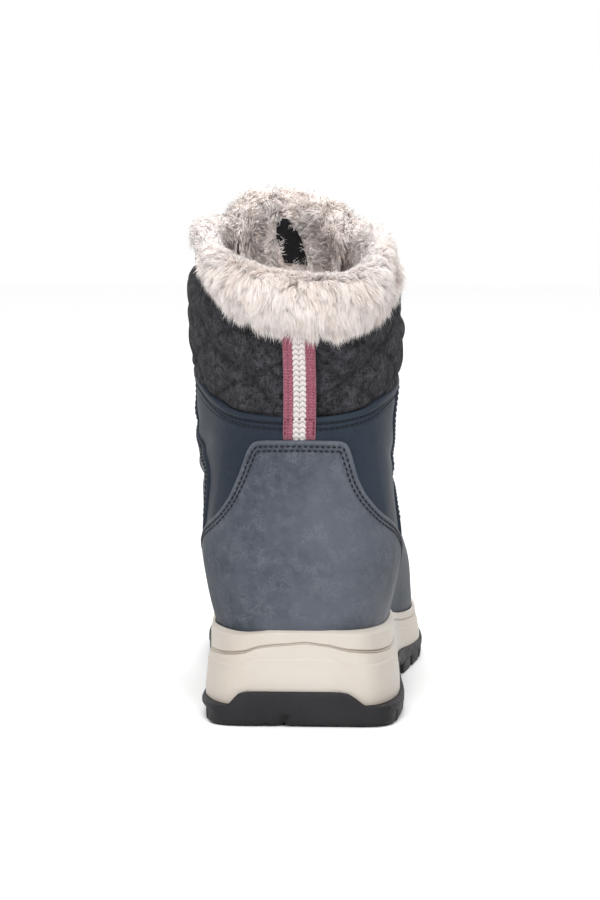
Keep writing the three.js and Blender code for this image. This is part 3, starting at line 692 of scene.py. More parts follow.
def waxed_leather():
    """Blue-grey pull-up hide: cloudy, with pale hair-lines where it has been bent and a rubbed, paler rim;
    painted shade darkens its stitch grooves, the flanks of the heel and the outer side.
    """
    tree, shader = new_finish("waxed leather", 0.58, Specular_IOR_Level=0.25)
    place = object_place(tree)
    wear = use_group(tree, "wear", {"Vector": place, "Scale": 19.0})
    base = mixed(tree, wear["Cloud"], colour(68, 76, 88), colour(104, 110, 122))
    base = tinted(tree, base, wear["Speckle"], 0.35, colour(112, 117, 128))
    coarse = use_group(tree, "hairlines", {"Vector": place, "Scale": 55.0, "Width": 0.008})["Lines"]
    fine = use_group(tree, "hairlines", {"Vector": place, "Scale": 330.0, "Width": 0.07})["Lines"]
    lines = maths(tree, "MAXIMUM", maths(tree, "MULTIPLY", coarse, 0.35), maths(tree, "MULTIPLY", fine, 0.42))
    base = mixed(tree, lines, base, colour(140, 144, 152))
    groove_shade = attribute(tree, "groove_shade")
    # painted shade on the flanks of the heel and the outer side
    base = tinted(tree, base, attribute(tree, "shade"), 0.75, colour(66, 73, 84))
    base = tinted(tree, base, attribute(tree, "rim"), 0.5, colour(122, 127, 137))
    # painted shade in the stitch grooves
    base = tinted(tree, base, groove_shade, 0.3, colour(48, 54, 64))
    feed(tree, shader, Base_Color=base, Roughness=ramp(tree, wear["Cloud"], 0.0, 1.0, 0.66, 0.5))
    grain = use_group(tree, "grain", {"Vector": place, "Scale": 850.0})["Height"]
    height = maths(tree, "ADD", maths(tree, "MULTIPLY", grain, 0.3), maths(tree, "MULTIPLY", lines, 0.15))
    raise_surface(tree, shader, maths(tree, "SUBTRACT", height, maths(tree, "MULTIPLY", groove_shade, 0.8)), 0.0004)


navy_leather()
waxed_leather()


# %% Felt, fur, fleece, webbing, lace and thread
def grey_felt():
    """Charcoal melange wool felt: crossing fibres, pale flecks on dark, and painted shade along the quilting's
    stitched lines.
    """
    sheen = {"Sheen_Weight": 0.06, "Sheen_Roughness": 0.6}
    tree, shader = new_finish("grey felt", 0.95, Specular_IOR_Level=0.05, **sheen)
    place = object_place(tree)
    fibres = use_group(tree, "fibres", {"Vector": place, "Scale": 1500.0})
    base = mixed(tree, fibres["Melange"], colour(22, 22, 25), colour(100, 99, 106))
    clouds = ramp(tree, noise(tree, place, 140.0, 3.0), 0.35, 0.7, 0.0, 0.45)
    base = mixed(tree, clouds, base, colour(34, 34, 38))
    # painted shade along the quilting's stitched lines
    feed(tree, shader, Base_Color=tinted(tree, base, attribute(tree, "groove_shade"), 0.5, colour(20, 20, 23)))
    raise_surface(tree, shader, fibres["Height"], 0.0008)


def fur_finish(name, root, tip):
    """Fur: pale tips over a warmer root, with a small difference from tuft to tuft and in broad patches."""
    tree, shader = new_finish(name, 0.8, Specular_IOR_Level=0.1, Sheen_Weight=0.2, Sheen_Roughness=0.5)
    base = mixed(tree, attribute(tree, "along"), root, tip)
    patch = ramp(tree, noise(tree, object_place(tree), 40.0, 2.0), 0.4, 0.65, 0.15, 1.0)
    warm = maths(tree, "MULTIPLY", ramp(tree, attribute(tree, "tuft"), 0.2, 1.0, 0.0, 0.6), patch)
    base = mixed(tree, warm, base, (0.97, 0.87, 0.79, 1))
    feed(tree, shader, Base_Color=base)
    glow = node(tree, "ShaderNodeBsdfTranslucent", {"Color": base}).outputs[0]
    both = node(tree, "ShaderNodeMixShader", {0: 0.42, 1: shader.outputs[0], 2: glow}).outputs[0]
    tree.links.new(both, tree.nodes["Material Output"].inputs["Surface"])


def fleece_finish(name, dark, pale):
    """Short pile: fibre noise for colour and height."""
    tree, shader = new_finish(name, 0.95, Specular_IOR_Level=0.1, Sheen_Weight=0.3)
    fibres = use_group(tree, "fibres", {"Vector": object_place(tree), "Scale": 420.0})
    feed(tree, shader, Base_Color=mixed(tree, fibres["Melange"], dark, pale))
    raise_surface(tree, shader, fibres["Height"], 0.0016)


def pull_webbing():
    """Woven tape: a pale middle stripe between two pink sides, with painted shade down in the hollows of its
    chevron relief.
    """
    tree, shader = new_finish("pull webbing", 0.85, Specular_IOR_Level=0.2, Sheen_Weight=0.2)
    fibres = use_group(tree, "fibres", {"Vector": object_place(tree), "Scale": 2200.0})
    pink = mixed(tree, fibres["Height"], colour(168, 88, 108), colour(206, 126, 146))
    white = mixed(tree, fibres["Height"], (0.58, 0.52, 0.50, 1), (0.74, 0.70, 0.68, 1))
    stripe = ramp(tree, attribute(tree, "stripe"), 0.4, 0.6)
    # painted shade: darker where the chevron relief is low
    weave_shade = ramp(tree, attribute(tree, "weave_shade"), 0.0, 0.75, 0.3, 1.0)
    base = mixed(tree, stripe, pink, white)
    shaded = node(tree, "ShaderNodeHueSaturation", {"Color": base, "Value": weave_shade}).outputs[0]
    feed(tree, shader, Base_Color=shaded)
    raise_surface(tree, shader, fibres["Height"], 0.0002)


LACE_STRANDS, LACE_TWIST = 25.13, 2.6  # phase over one turn round the cord, and over a millimetre along it


def braided_lace():
    """Round braid: two sets of strands winding opposite ways, read from the cord's own UV, with painted shade
    in the gaps between strands.
    """
    tree, shader = new_finish("braided lace", 0.85, Specular_IOR_Level=0.25)
    place = node(tree, "ShaderNodeUVMap").outputs[0]
    split = node(tree, "ShaderNodeSeparateXYZ", {0: place}).outputs
    rows = []
    for winding in (LACE_STRANDS, -LACE_STRANDS):
        along = maths(tree, "MULTIPLY", split[1], LACE_TWIST)
        phase = maths(tree, "ADD", along, maths(tree, "MULTIPLY", split[0], winding))
        rows.append(maths(tree, "ABSOLUTE", maths(tree, "SINE", phase)))
    braid = maths(tree, "MULTIPLY", rows[0], rows[1])
    # painted shade: darker in the gaps between the strands
    feed(tree, shader, Base_Color=mixed(tree, braid, colour(20, 23, 29), colour(66, 71, 80)))
    raise_surface(tree, shader, braid, 0.0005)


def plain_thread(name, dark, pale):
    """Twisted sewing thread."""
    tree, shader = new_finish(name, 0.75, Specular_IOR_Level=0.3)
    shade = noise(tree, object_place(tree), 1500.0, 2.0)
    feed(tree, shader, Base_Color=mixed(tree, shade, dark, pale))
    raise_surface(tree, shader, shade, 0.0001)


grey_felt()
fur_finish("long fur", (0.99, 0.917, 0.888, 1), (0.99, 0.952, 0.932, 1))
fleece_finish("fur backing", (0.95, 0.87, 0.83, 1), (1.0, 0.95, 0.93, 1))
fleece_finish("short fleece", (0.75, 0.68, 0.65, 1), (0.92, 0.86, 0.83, 1))
pull_webbing()
braided_lace()
plain_thread("dark thread", colour(18, 20, 25), colour(38, 42, 50))
plain_thread("red thread", colour(92, 30, 42), colour(130, 52, 66))
plain_thread("woven label", colour(14, 14, 16), colour(30, 30, 33))


# %% Rubber, foam and metal
def charcoal_rubber():
    """Moulded rubber: matt, faintly mottled, dusty, with a painted shadow beside the groove at the heel."""
    tree, shader = new_finish("charcoal rubber", 0.62, Specular_IOR_Level=0.25)
    place = object_place(tree)
    wear = use_group(tree, "wear", {"Vector": place, "Scale": 30.0})
    base = mixed(tree, wear["Cloud"], colour(32, 31, 34), colour(46, 45, 48))
    base = tinted(tree, base, wear["Speckle"], 0.4, colour(61, 59, 63))
    # painted shadow beside the heel's groove
    base = tinted(tree, base, attribute(tree, "groove_shade"), 0.75, colour(12, 12, 13))
    feed(tree, shader, Base_Color=base, Roughness=ramp(tree, wear["Speckle"], 0.0, 1.0, 0.55, 0.75))
    raise_surface(tree, shader, wear["Speckle"], 0.00012)


def cream_foam():
    """Moulded foam: warm cream with a satin skin and faint pores, and a brown painted shade in its folds and
    at the foot of its wall.
    """
    tree, shader = new_finish("cream foam", 0.5, Specular_IOR_Level=0.35)
    place = object_place(tree)
    wear = use_group(tree, "wear", {"Vector": place, "Scale": 14.0})
    base = mixed(tree, wear["Cloud"], colour(239, 228, 215), colour(246, 237, 226))
    # painted shade, brown, in the folds and at the foot of the wall
    feed(tree, shader, Base_Color=tinted(tree, base, attribute(tree, "groove_shade"), 0.6, colour(172, 146, 120)))
    raise_surface(tree, shader, noise(tree, place, 1500.0, 2.0), 0.00008)


def gunmetal():
    """Plated wire: dark grey metal, rubbed brighter in places."""
    tree, shader = new_finish("gunmetal", 0.3, Metallic=1.0)
    wear = use_group(tree, "wear", {"Vector": object_place(tree), "Scale": 150.0})
    base = mixed(tree, wear["Cloud"], colour(120, 123, 128), colour(150, 153, 158))
    feed(tree, shader, Base_Color=base, Roughness=ramp(tree, wear["Speckle"], 0.0, 1.0, 0.28, 0.34))


charcoal_rubber()
cream_foam()
gunmetal()

# %% [markdown]
# ## Outsole
# On the real boot the outsole is one rubber moulding: a thin plate with a side wall, and blocks of tread
# under it. It could be cut from a solid, but a moulding has rounded edges everywhere, so the plate is a
# closed stack of outlines with a rounded foot, and each lug is a rounded block sunk into the plate.

# %% Outsole plate and wall
ARCH_LINE = smooth([(70, 0), (82, 3.2), (96, 3.6), (110, 3.2), (121, 0)])
LUG_DEPTH = 4.5
ARCH_RISE = 5.2
HEEL_SHIFT = 1.8
# The wall from the foot of the plate to its top: shares of the way in to the upper, and of the height.
RUBBER_WALL = [
    (0.16, 0.0), (0.085, 0.02), (0.045, 0.07), (0.02, 0.16),
    *((0.0, share) for share in np.linspace(0.24, 0.74, 9)),
    (0.01, 0.84), (0.03, 0.93), (0.06, 0.98), (0.1, 1.0), (0.2, 1.0), (0.3, 0.985),
]


def tread(y):
    """The lowest plane of the tread: up at the toe spring, and very slightly up at the back of the heel."""
    return 14 * (np.maximum(y - 192, 0) / 76) ** 2 + 0.5 * (np.maximum(9 - y, 0) / 9) ** 2


def heel_arch(x, y):
    """How far the rubber stands up in the arch behind the heel: a steep step at its inner end, a slope at
    its outer end."""
    inner = ease(x, -28.6, -22.4)
    outer = 1 - ease(x, 19.0, 28.6)
    return ARCH_RISE * np.where(x < 0, inner, outer) * (1 - ease(y, 22, 30))


def even_angles(row, count):
    """Angles of points evenly spaced round an outline. Its ends are so square that near them the angle
    hardly changes, so the outline is first read at angles that crowd towards both ends."""
    half = 0.5 * (2 * np.linspace(0, 0.5, 4000)) ** 7
    fine = math.pi * np.concatenate([half, 0.5 + (0.5 - half[::-1])[1:]])
    fine = np.concatenate([-fine[:0:-1], fine])
    distance = lengths_along(np.stack(outline(row, fine), -1))
    return np.interp(np.linspace(0, distance[-1], count, endpoint=False), distance, fine)


SOLE_ANGLES = even_angles(SOLE, 440)


def sole_outline(angle, grow=0.0):
    """x and y of the sole's widest outline, moved outwards by `grow`; the heel lies a little to the outer
    side of the last."""
    x, y = outline(SOLE, angle)
    e = 1e-5 + 1e-3 * np.abs(np.sin(angle))
    xa, ya = outline(SOLE, angle + e)
    xb, yb = outline(SOLE, angle - e)
    tangent = unit(np.stack([xa - xb, ya - yb], -1))
    shift = HEEL_SHIFT * (1 - ease(y, 20, 90))
    return x + tangent[..., 1] * grow + shift, y - tangent[..., 0] * grow


def upper_foot(angle):
    """x and y of the upper's outline where it meets the sole."""
    point = skin_point(angle, 0.4)
    return point[..., 0], point[..., 1]


def sole_ring(t, z, grow=0.0):
    """A ring between the sole's outline, t = 0, and the foot of the upper, t = 1, at heights z."""
    x0, y0 = sole_outline(SOLE_ANGLES, grow)
    x1, y1 = upper_foot(SOLE_ANGLES)
    return np.stack([x0 + (x1 - x0) * t, y0 + (y1 - y0) * t, np.broadcast_to(z, x0.shape)], -1)


def closed_stack(rings):
    """A closed solid from rings of the same count: side quads, and a middle point for each flat end."""
    rings = np.stack(rings)
    rows, columns = rings.shape[:2]
    ends = np.stack([rings[0].mean(0), rings[-1].mean(0)])
    ends[0, 2], ends[1, 2] = rings[0][:, 2].mean(), rings[-1][:, 2].mean()
    points = np.concatenate([rings.reshape(-1, 3), ends])
    quads = grid_quads(rows, columns, close_columns=True)
    k = np.arange(columns)
    after = (k + 1) % columns
    last = (rows - 1) * columns
    low = np.stack([after, k, np.full(columns, rows * columns)], -1)
    high = np.stack([last + k, last + after, np.full(columns, rows * columns + 1)], -1)
    return points, [quads, np.concatenate([low, high])]


def outsole_plate():
    """The rubber plate: a flat underside at the roots of the lugs, a wall that leans out a little, and a lip
    rounded over at both ends. Behind the heel the wall reaches the floor, and beside a groove there it gets a
    painted shadow, which is returned as well."""
    x, y = sole_outline(SOLE_ANGLES)
    ground = tread(y)
    root = ground + LUG_DEPTH + ARCH_LINE(y).clip(0) * ((y > 70) & (y < 121))
    nick = 0.9 * bump_at(x, -13.5, 1.3) + 1.1 * bump_at(x, -5.6, 0.9)
    foot = np.where(y < 11, ground + 0.05 + nick * (y < 6), root)
    top = rubber_line(y) + heel_arch(x, y)
    rings = [sole_ring(0.62, root + 0.2), sole_ring(0.34, root)]
    dark = [0 * x, 0 * x]
    for t, share in RUBBER_WALL:
        height = foot + (top - foot) * share
        beyond = (-3.0 - 0.75 * (4.6 - height)) - x
        groove = ease(beyond, -0.3, 0.25) * (1 - ease(beyond, 0.4, 7)) * ease(height, 5.0, 4.2) * (y < 6)
        rings.append(sole_ring(t, height, 0.25 - 1.3 * groove))
        # painted shadow beside the groove's step
        dark.append(groove * (1 - ease(beyond, 0.6, 3.0)))
    rings.append(sole_ring(0.5, top - 0.6))
    dark += [0 * x, np.zeros(2)]
    return closed_stack(rings), np.concatenate(dark)


# A lug's rings from its foot to its root: size, and share of its height.
LUG_PROFILE = ((0.86, 0.0), (0.95, 0.03), (0.985, 0.12), (1.0, 0.3), (1.02, 1.0))


def rounded_block(corners, low, high, radius=1.6, arc=4):
    """A lug: a four-cornered outline with rounded corners, drawn in a little towards a rounded foot."""
    corners = np.asarray(corners, float)
    centre = corners.mean(0)
    path = []
    for i in range(4):
        at, before, after = corners[i], corners[i - 1], corners[(i + 1) % 4]
        a = at + (before - at) / np.linalg.norm(before - at) * radius
        b = at + (after - at) / np.linalg.norm(after - at) * radius
        t = np.linspace(0, 1, arc)[:, None]
        path.append((1 - t) ** 2 * a + 2 * t * (1 - t) * at + t * t * b)
    path = np.concatenate(path)
    rings = []
    for shrink, share in LUG_PROFILE:
        flat = centre + (path - centre) * shrink
        foot, root = low(flat[:, 1]), high(flat[:, 1])
        rings.append(np.concatenate([flat, (foot + (root - foot) * share)[:, None]], 1))
    return closed_stack(rings)


def edge_block(start, end, depth, grow=0.0):
    """Corners of a lug on the rim, between two angles, reaching `depth` inwards."""
    angles = np.array([start, end])
    x0, y0 = sole_outline(angles, grow)
    point_in = np.stack(sole_outline(angles, -depth), -1)
    point_out = np.stack([x0, y0], -1)
    return [point_out[0], point_out[1], point_in[1], point_in[0]]


def middle_block(x0, x1, y0, y1, shift):
    """Corners of a slanted lug under the middle of the foot."""
    return [(x0, y0), (x1, y0 + shift), (x1, y1 + shift), (x0, y1)]


def share_angle(share):
    """The angle at a share of the sole's length."""
    return math.acos(1 - 2 * share)


# Rows of lugs along both sides: shares of the length where the row begins and ends, number, and depth.
SIDE_LUGS = ((0.045, 0.285, 2, 17), (0.46, 0.85, 5, 15))
LUG_GAP = 0.007  # of the length, at each end of a lug
# Lugs round the two ends: angles where one begins and ends, and depth.
END_LUGS = ((-0.42, -0.05, 13), (0.03, 0.42, 13), (2.4, 2.74, 11), (2.8, 3.48, 11), (3.54, 3.88, 11))


def outsole_lugs():
    """All the tread: blocks round the heel and forefoot, a bar at the toe, and slanted blocks inside."""
    blocks = []
    for side in (-1, 1):
        for first, last, count, depth in SIDE_LUGS:
            edges = np.linspace(first, last, count + 1)
            for a, b in zip(edges[:-1] + LUG_GAP, edges[1:] - LUG_GAP):
                blocks.append(edge_block(side * share_angle(a), side * share_angle(b), depth))
    blocks += [edge_block(a, b, depth) for a, b, depth in END_LUGS]
    for y in range(130, 207, 19):
        blocks.append(middle_block(-23, -5.5, y, y + 13, 4))
        blocks.append(middle_block(-2.5, 15, y + 4, y + 17, -4))
    for y in (24, 46):
        blocks.append(middle_block(-14, -2, y, y + 15, 0))
        blocks.append(middle_block(2, 14, y, y + 15, 0))
    return [rounded_block(c, tread, lambda y: tread(y) + LUG_DEPTH + 0.6) for c in blocks]


def build_outsole():
    """Plate and lugs in one mesh."""
    plate, dark = outsole_plate()
    points, faces = merged([plate, *outsole_lugs()])
    points[:, 2] = np.maximum(points[:, 2], 0.0)
    # painted groove shadow for the plate, none on the lugs
    groove_shade = np.concatenate([dark, np.zeros(len(points) - len(dark))])
    piece = make_piece("outsole_moulding", points, faces, "charcoal rubber", {"groove_shade": groove_shade}, sharp=50)
    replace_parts(piece, "outsole")


build_outsole()

# %% [markdown]
# ## Midsole
# A foam midsole is moulded in one go. Its wall bulges, steps in softly half way up and once more, sharply,
# below a rounded lip, and its lower line arches behind the heel where the rubber stands up. The wall is one
# stack of rings whose depth is a curve of the share of its height, with the two folds taken out of it.

# %% Midsole
def midsole_wall(share):
    """Depth of the wall into the sole, in shares from the sole's outline to the upper's foot, at a share of
    its height: a bulge, a soft step at 0.51, and a sharp groove and step at 0.80, then a rounded lip."""
    body = 0.3 + 0.08 * ease(share, 0.1, 0.5)
    step = 0.07 * ease(share, 0.50, 0.545)
    shoulder = 0.05 * ease(share, 0.55, 0.76)
    groove = 0.055 * bump_at(share, 0.772, 0.009) + 0.075 * bump_at(share, 0.797, 0.01)
    step2 = 0.05 * ease(share, 0.77, 0.83)
    lip = 0.24 * ease(share, 0.93, 1.0) ** 2
    return body + step + shoulder + groove + step2 + lip


def build_midsole():
    """Rings up the wall, over the lip, and down the inside to the cup the foot sits in."""
    x, y = sole_outline(SOLE_ANGLES)
    low = rubber_line(y) + heel_arch(x, y) + 0.1
    high = sole_line(y)
    corner = bump_at(x, -31, 7) * (y < 26)
    sag = np.clip((x - 3) / 36, -1.2, 1.2) ** 2 * (1 - ease(y, 50, 130))
    spans = ((0.0, 1.0, 19), (0.48, 0.56, 7), (0.745, 0.835, 17), (0.9, 1.0, 7))
    shares = np.unique(np.concatenate([np.linspace(*span) for span in spans]).round(4))
    rings, groove_shades = [], []
    for t, drop in ((0.75, 0.8), (0.45, 0.4)):
        rings.append(sole_ring(t, low - drop))
        groove_shades.append(0.0)
    for share in shares:
        depth = float(midsole_wall(share))
        swell = 0.9 * math.cos(0.5 * math.pi * min(share / 0.6, 1.0))
        droop = -3.4 * sag * bump_at(share, 0.78, 0.12) - 1.0 * corner * ease(share, 0.9, 1.0)
        droop += 0.25 * np.sin(x / 6 + 1) * bump_at(share, 0.52, 0.06)
        droop += 0.15 * np.sin(x / 4) * bump_at(share, 0.79, 0.06)
        rings.append(sole_ring(depth, low + (high - low) * share + droop, swell))
        # painted shade: in the two grooves below the lip, a little in the soft step, and at the foot of the
        # wall
        groove_shades.append(float(bump_at(share, 0.797, 0.009) * 0.8 + bump_at(share, 0.771, 0.008) * 0.55
                           + bump_at(share, 0.52, 0.02) * 0.12 + bump_at(share, 0.0, 0.02) * 0.3))
    for t, drop in ((0.8, 0.1), (0.92, 0.6), (1.0, 1.6), (1.02, 5.0)):
        rings.append(sole_ring(t, high - drop - 1.0 * corner))
        groove_shades.append(0.0)
    points, faces = closed_stack(rings)
    groove_shade = np.concatenate([np.repeat(groove_shades, len(SOLE_ANGLES)), [0, 0]])
    piece = make_piece("midsole_foam", points, faces, "cream foam", {"groove_shade": groove_shade}, sharp=60)
    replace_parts(piece, "midsole")


build_midsole()

# %% [markdown]
# ## Leather upper
# Leather is cut flat, sewn, and pulled over the last, so its surface is the last's skin with soft creases
# where the foot bends. It is made as one slab that runs from one edge of the throat round the heel to the
# other. The creases are listed in a table in millimetres: each is a trough with a low ridge above.

# %% Creases
CREASE_COLUMNS = ("degrees", "v", "half_length", "half_width", "depth", "tilt")
CREASES = [
    (-62, 5.55, 17, 3.4, 1.0, 12), (-70, 4.75, 20, 3.8, 1.2, 6), (-84, 5.95, 15, 3.0, 0.8, 18),
    (-98, 4.95, 19, 3.6, 1.1, -4), (66, 5.35, 16, 3.4, 0.9, -10), (80, 4.6, 20, 3.8, 1.1, -6),
    (94, 5.6, 17, 3.2, 0.9, -16), (112, 4.9, 18, 3.4, 1.0, 4), (-34, 6.1, 14, 3.0, 0.35, 8),
    (33, 6.1, 14, 3.0, 0.35, -8), (122, 2.2, 24, 4.6, 1.2, 30), (-122, 2.2, 22, 4.4, 1.1, -30),
    (148, 2.9, 18, 4.2, 1.3, 8), (-148, 2.9, 18, 4.2, 1.3, -8), (164, 3.5, 16, 3.8, 1.1, 0),
    (-164, 3.5, 16, 3.8, 1.1, 0), (104, 3.2, 22, 4.4, 1.0, 22), (-104, 3.2, 22, 4.2, 1.0, -22),
]
THROAT = smooth([(4.2, 6), (4.5, 10.5), (5, 12.5), (7, 13.5), (9.6, 16.5)])
FELT_LINE = smooth([(-3.2, 7.0), (-1.9, 7.06), (-1.246, 7.0), (-0.802, 6.74), (-0.479, 6.56), (-0.16, 6.5),
                    (0.16, 6.5), (0.483, 6.6), (0.841, 6.8), (1.27, 6.92), (1.9, 7.0), (3.2, 7.0)])


def creases(angle, v, table=None):
    """Millimetres outwards at a point of the skin: for each crease, the distances along and across it are
    taken from the skin's own scale there, and a bell-shaped trough with a lower ridge above it is added."""
    total = np.zeros(np.broadcast(angle, v).shape)
    for row in table or CREASES:
        at = dict(zip(CREASE_COLUMNS, row))
        a0, v0, turn = math.radians(at["degrees"]), at["v"], math.radians(at["tilt"])
        per_angle = np.linalg.norm(skin_point(a0 + 0.05, v0) - skin_point(a0 - 0.05, v0)) / 0.1
        per_v = np.linalg.norm(skin_point(a0, v0 + 0.2) - skin_point(a0, v0 - 0.2)) / 0.4
        along, up = (angle - a0) * per_angle, (v - v0) * per_v
        run = along * math.cos(turn) + up * math.sin(turn)
        cross = up * math.cos(turn) - along * math.sin(turn) + 1.2 * np.sin(run / 9 + v0 * 3)
        wide = at["half_width"]
        shape = 0.55 * bump_at(cross, 2.1 * wide, 1.5 * wide) - bump_at(cross, 0, wide)
        total = total + at["depth"] * shape * bump_at(run, 0, at["half_length"])
    return total


def foot_tuck(angle, v):
    """How far the leather lies inside the skin: by an overlay's thickness on both sides, and further above
    the sole on the inner side of the heel."""
    return 1.25 * ease(np.abs(angle), 0.45, 1.0) + 1.2 * ease(v, 2.4, 0.3) * bump_at(angle, -0.75, 0.55)


def throat_width(v):
    """Half width of the throat: the table's, and round at its foot."""
    return np.minimum(THROAT(v), 10.5 * np.sqrt(np.clip((v - 4.05) / 0.45, 0, 1)))


def throat_angles(v, extra=0.0):
    """Angles of the throat's two edges at each height in a list, or of the toe below the throat."""
    width = throat_width(v) + extra
    inner, outer = angle_at(v, -1, width), angle_at(v, 1, width)
    closed = v < 4.05
    return np.where(closed, -math.pi, inner), np.where(closed, math.pi, outer)


def body_grid(shares, heights, extra=0.0):
    """Angles of a grid that runs from one edge of the throat round the heel to the other."""
    inner, outer = throat_angles(heights, extra)
    return np.where(shares < 0, -shares * inner[:, None], shares * outer[:, None])


def path_on_skin(knots, count=300):
    """Angle and height along a smooth line through knots of (angle, v), evenly spaced in millimetres."""
    knots = np.asarray(knots, float)
    coarse = lengths_along(skin_point(knots[:, 0], knots[:, 1]))
    at = np.linspace(0, coarse[-1], 4 * count)
    angle, v = through(coarse, knots[:, 0], at), through(coarse, knots[:, 1], at)
    fine = lengths_along(skin_point(angle, v))
    even = np.linspace(0, fine[-1], count)
    return np.interp(even, fine, angle), np.interp(even, fine, v)


# %% Leather body
LEATHER = {"foot": 0.25, "top": 6.55, "lines": (2.6, 4.8)}


def build_leather():
    """Rows rise to the felt line, where the edge is rolled over a cord: a ridge, then a turn inwards. Two
    rows of stitching below the edge pull the leather in."""
    shares = np.linspace(-1, 1, 221)
    rise = np.concatenate([np.linspace(0, 0.9, 44), np.linspace(0.905, 1.0, 32)])[:, None]
    base = LEATHER["foot"] + (LEATHER["top"] - LEATHER["foot"]) * rise
    angle = body_grid(shares, base[:, 0])
    top = FELT_LINE(angle)
    v = base + (top - LEATHER["top"]) * ease(rise, 0.35, 1.0)
    below = (top - v) * np.linalg.norm(skin_point(0.0, 6.8) - skin_point(0.0, 6.2)) / 0.6
    groove_shade = sum(bump_at(below, line, 0.4) for line in LEATHER["lines"])
    roll = 0.85 * np.sqrt(np.clip(1 - ((below - 0.9) / 1.4) ** 2, 0, 1)) - 0.6 * ease(below, 0.35, 0.0)
    out = creases(angle, v) - foot_tuck(angle, v) + 0.25 * ease(below, 12, 3)
    out += np.maximum(roll, 0) * (below < 2.3) - 0.18 * groove_shade
    outer = skin(angle, v, out)
    inner = skin(angle, v, -3.3)
    points, quads = slab(outer, inner)
    # the stitch grooves, which the finish also darkens as painted shade
    piece = make_piece("leather_body", points, quads, "navy leather", {"groove_shade": twice(groove_shade)}, sharp=70)
    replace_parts(piece, "upper")


build_leather()

# %% [markdown]
# ## Felt collar
# Above the leather the boot is quilted wool felt over wadding. Diagonal seams cross into diamonds and every
# diamond puffs out. Two families of slanting lines are drawn in millimetres round and up the collar, and the
# height of a pillow is a flattened product of the distances to the nearest line of each.

# %% Felt collar
QUILT = {"across": 31.0, "up": 19.0, "centre": (-16.6, 4.1), "puff": 2.2}
SHAFT_RADIUS, ROW_HEIGHT = 39.0, 17.5  # near enough to lay the quilting out in millimetres
FELT_FOOT = 6.5
UNDER_FACING = (18.5, 23.0)  # from the throat's edge: quilting starts to show, and shows in full
FELT_CREASES = [
    (-66, 7.9, 15, 3.5, 0.8, 20), (-84, 7.3, 14, 3.2, 0.8, -12), (72, 7.6, 15, 3.4, 0.8, -18),
    (88, 8.2, 14, 3.2, 0.7, 10), (30, 7.4, 13, 3.2, 0.5, 24), (-28, 7.5, 13, 3.2, 0.5, -20),
]


def quilt(around, up):
    """Height of the quilting from 0 on a stitched line to 1 in the middle of a diamond, and a mask of those
    lines, which the felt's finish darkens as painted shade.
    """
    x, y = (around - QUILT["centre"][0]) / QUILT["across"], (up - QUILT["centre"][1]) / QUILT["up"]
    a, b = x + y + 0.5, x - y + 0.5
    one, two = np.abs(np.sin(math.pi * a)), np.abs(np.sin(math.pi * b))
    return (one * two) ** 0.42, np.maximum(bump_at(one, 0, 0.13), bump_at(two, 0, 0.13))


def lumps(points, size, amount, seed):
    """Soft unevenness: a sum of a few plane waves of about one size in seeded directions."""
    own = np.random.default_rng(seed)
    total = np.zeros(points.shape[:-1])
    for _ in range(9):
        wave = own.normal(size=3)
        wave *= 2 * math.pi / (size * own.uniform(0.7, 1.5) * np.linalg.norm(wave))
        total += np.sin(points @ wave + own.uniform(0, 6.28))
    return amount * total / 3


def build_felt():
    """Rows from under the leather's rolled edge to the collar's, puffed by the quilting, and wrinkled a
    little; the inner face follows the wall."""
    shares = np.linspace(-1, 1, 261)
    rise = np.linspace(0, 1, 54)[:, None]
    base = FELT_FOOT + (COLLAR - FELT_FOOT) * rise
    angle = body_grid(shares, base[:, 0])
    low = FELT_LINE(angle) - 0.12
    v = low + (COLLAR - low) * rise
    nominal = skin_point(angle, v)
    around = angle * SHAFT_RADIUS
    up = (v - FELT_FOOT) * ROW_HEIGHT
    bent = lumps(nominal, 30, 1.6, 5)
    puff, groove_shade = quilt(around + bent, up + 0.6 * bent)
    puff = puff * (1 - 0.7 * bump_at(angle, 0, 0.19))
    side = np.where(angle < 0, -1.0, 1.0)
    throat = THROAT(v)
    near, far = (np.abs(angle_at(v, side, throat + reach)) for reach in UNDER_FACING)
    under_facing = ease(np.abs(angle), far, near) * ease(v, 8.35, 8.1)
    under_cuff = ease(v, 8.35, 8.7)
    tuck = ease(rise, 0.0, 0.09)
    relief = QUILT["puff"] * puff + lumps(nominal, 14, 0.35, 3) + creases(angle, v, FELT_CREASES)
    out = -2.2 + tuck * (0.8 + relief * (1 - under_facing) * (1 - under_cuff))
    out -= 1.3 * under_cuff + 0.7 * under_facing * (1 - under_cuff)
    outer = skin(angle, v, out)
    inner = skin(angle, v, -3.4)
    points, quads = slab(outer, inner)
    # the quilting's stitched lines, where the finish paints shade
    piece = make_piece("felt_collar", points, quads, "grey felt", {"groove_shade": twice(groove_shade * tuck)}, sharp=70)
    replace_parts(piece, "upper")


build_felt()

# %% [markdown]
# ## Lining and footbed
# Inside, the boot is lined with short fleece from the footbed to the cuff, and the insole is a fleece-topped
# pad. Both are plain slabs, since the pile is in the finish.

# %% Lining and footbed
def build_lining():
    """The inner third of the wall, from the insole to the collar."""
    shares = np.linspace(-1, 1, 91)
    heights = np.linspace(0.3, 8.98, 36)
    angle = body_grid(shares, heights, 0.4)
    v = heights[:, None] + 0 * angle
    outer = skin(angle, v, -3.5)
    inner = skin(angle, v, -WALL)
    points, quads = slab(outer, inner)
    piece = make_piece("fleece_lining", points, quads, "short fleece", sharp=70)
    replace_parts(piece, "upper")


